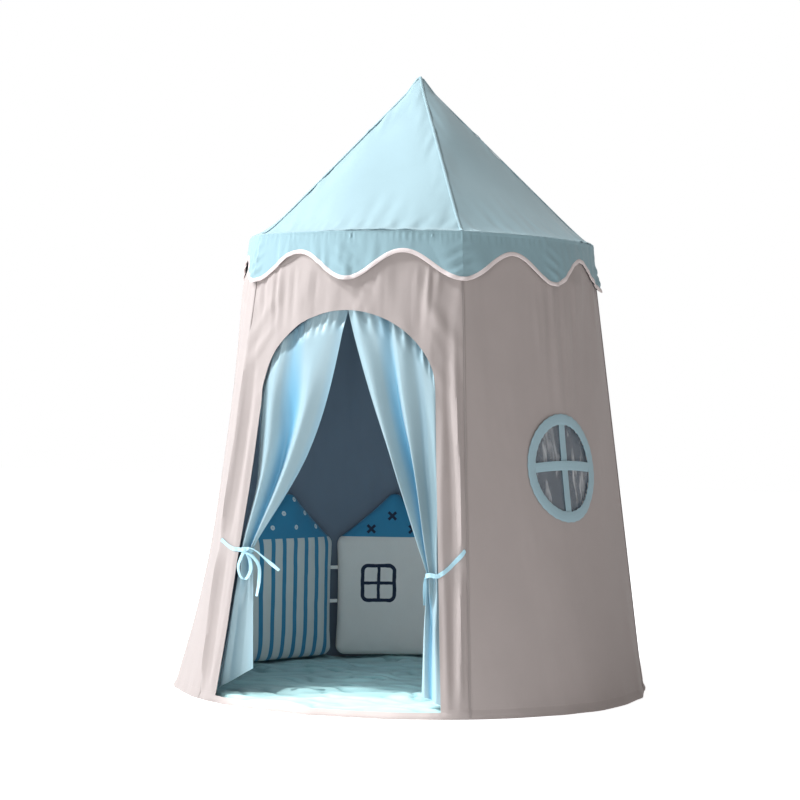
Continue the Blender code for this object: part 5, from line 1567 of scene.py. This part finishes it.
CAMERA_AZIMUTH = math.radians(22.4)
CAMERA_DISTANCE = 5.478
CAMERA_HEIGHT = 0.715
CAMERA_YAW, CAMERA_PITCH, CAMERA_ROLL = (math.radians(turn) for turn in (-0.39, 0.20, 1.01))
PHOTO_WIDTH = 800
FOCAL_LENGTH_PIXELS = 2128
SENSOR_WIDTH = 36


def turned(first, second, angle):
    """Two directions at right angles, turned from the first towards the second."""
    c, s = math.cos(angle), math.sin(angle)
    return first * c + second * s, second * c - first * s


ahead = Vector((-math.sin(CAMERA_AZIMUTH), math.cos(CAMERA_AZIMUTH), 0))
aside = Vector((math.cos(CAMERA_AZIMUTH), math.sin(CAMERA_AZIMUTH), 0))
position = -ahead * CAMERA_DISTANCE + Vector((0, 0, CAMERA_HEIGHT))
forward, right = turned(ahead, aside, CAMERA_YAW)
look, top = turned(forward, Vector((0, 0, 1)), CAMERA_PITCH)
rolled_right, rolled_top = turned(right, top, CAMERA_ROLL)
camera_data = bpy.data.cameras.new("camera")
camera_data.sensor_width = SENSOR_WIDTH
camera_data.lens = FOCAL_LENGTH_PIXELS / PHOTO_WIDTH * SENSOR_WIDTH
camera_data.clip_end = 60
camera = put_in_scene("camera", camera_data)
camera_axes = Matrix((rolled_right, rolled_top, -look)).transposed().to_4x4()
camera.matrix_world = Matrix.Translation(position) @ camera_axes
bpy.context.scene.camera = camera


def add_light(kind, name, position, target, power):
    data = bpy.data.lights.new(name, kind)
    data.energy = power
    light = put_in_scene(name, data)
    light.location = position
    light.rotation_euler = (Vector(target) - light.location).to_track_quat("-Z", "Y").to_euler()
    return data


def soft_light(name, position, target, size, power, colour):
    data = add_light("AREA", name, position, target, power)
    data.shape = "RECTANGLE"
    data.size, data.size_y = size
    data.color = colour


DAYLIGHT = (0.95, 0.975, 1.0)
CLOTH_GLOW = (0.80, 0.93, 1.0)
soft_light("key_from_above_left", (-2.7, -2.3, 5.4), (0, 0, 0.7), (0.8, 0.8), 262, DAYLIGHT)
soft_light("side_from_left", (-4.2, -1.9, 3.5), (0, 0, 1.0), (0.6, 0.8), 222, DAYLIGHT)
soft_light("low_front_fill", (-0.6, -5.6, 1.1), (0, 0, 0.4), (1.8, 1.0), 38, (0.95, 0.98, 1.0))
soft_light("glow_through_cloth", (0.02, -0.34, 0.50), (0.02, 0.40, 0.26), (0.30, 0.60), 1.40, CLOTH_GLOW)

sun = add_light("SPOT", "sun_at_door", (-0.9, -2.7, 4.6), (0.02, -0.53, 0.02), 1200)
sun.spot_size, sun.spot_blend, sun.shadow_soft_size = math.radians(6.6), 0.35, 0.03

world = bpy.data.worlds.new("studio")
bpy.context.scene.world = world
world.use_nodes = True
sky = mix_colour(world.node_tree, seen_by_camera(world.node_tree), (0.34, 0.328, 0.322, 1), (1, 1, 1, 1))
plug(world.node_tree.nodes["Background"].inputs["Color"], sky)
bpy.context.scene.view_settings.view_transform = "Standard"
bpy.context.scene.view_settings.look = "None"
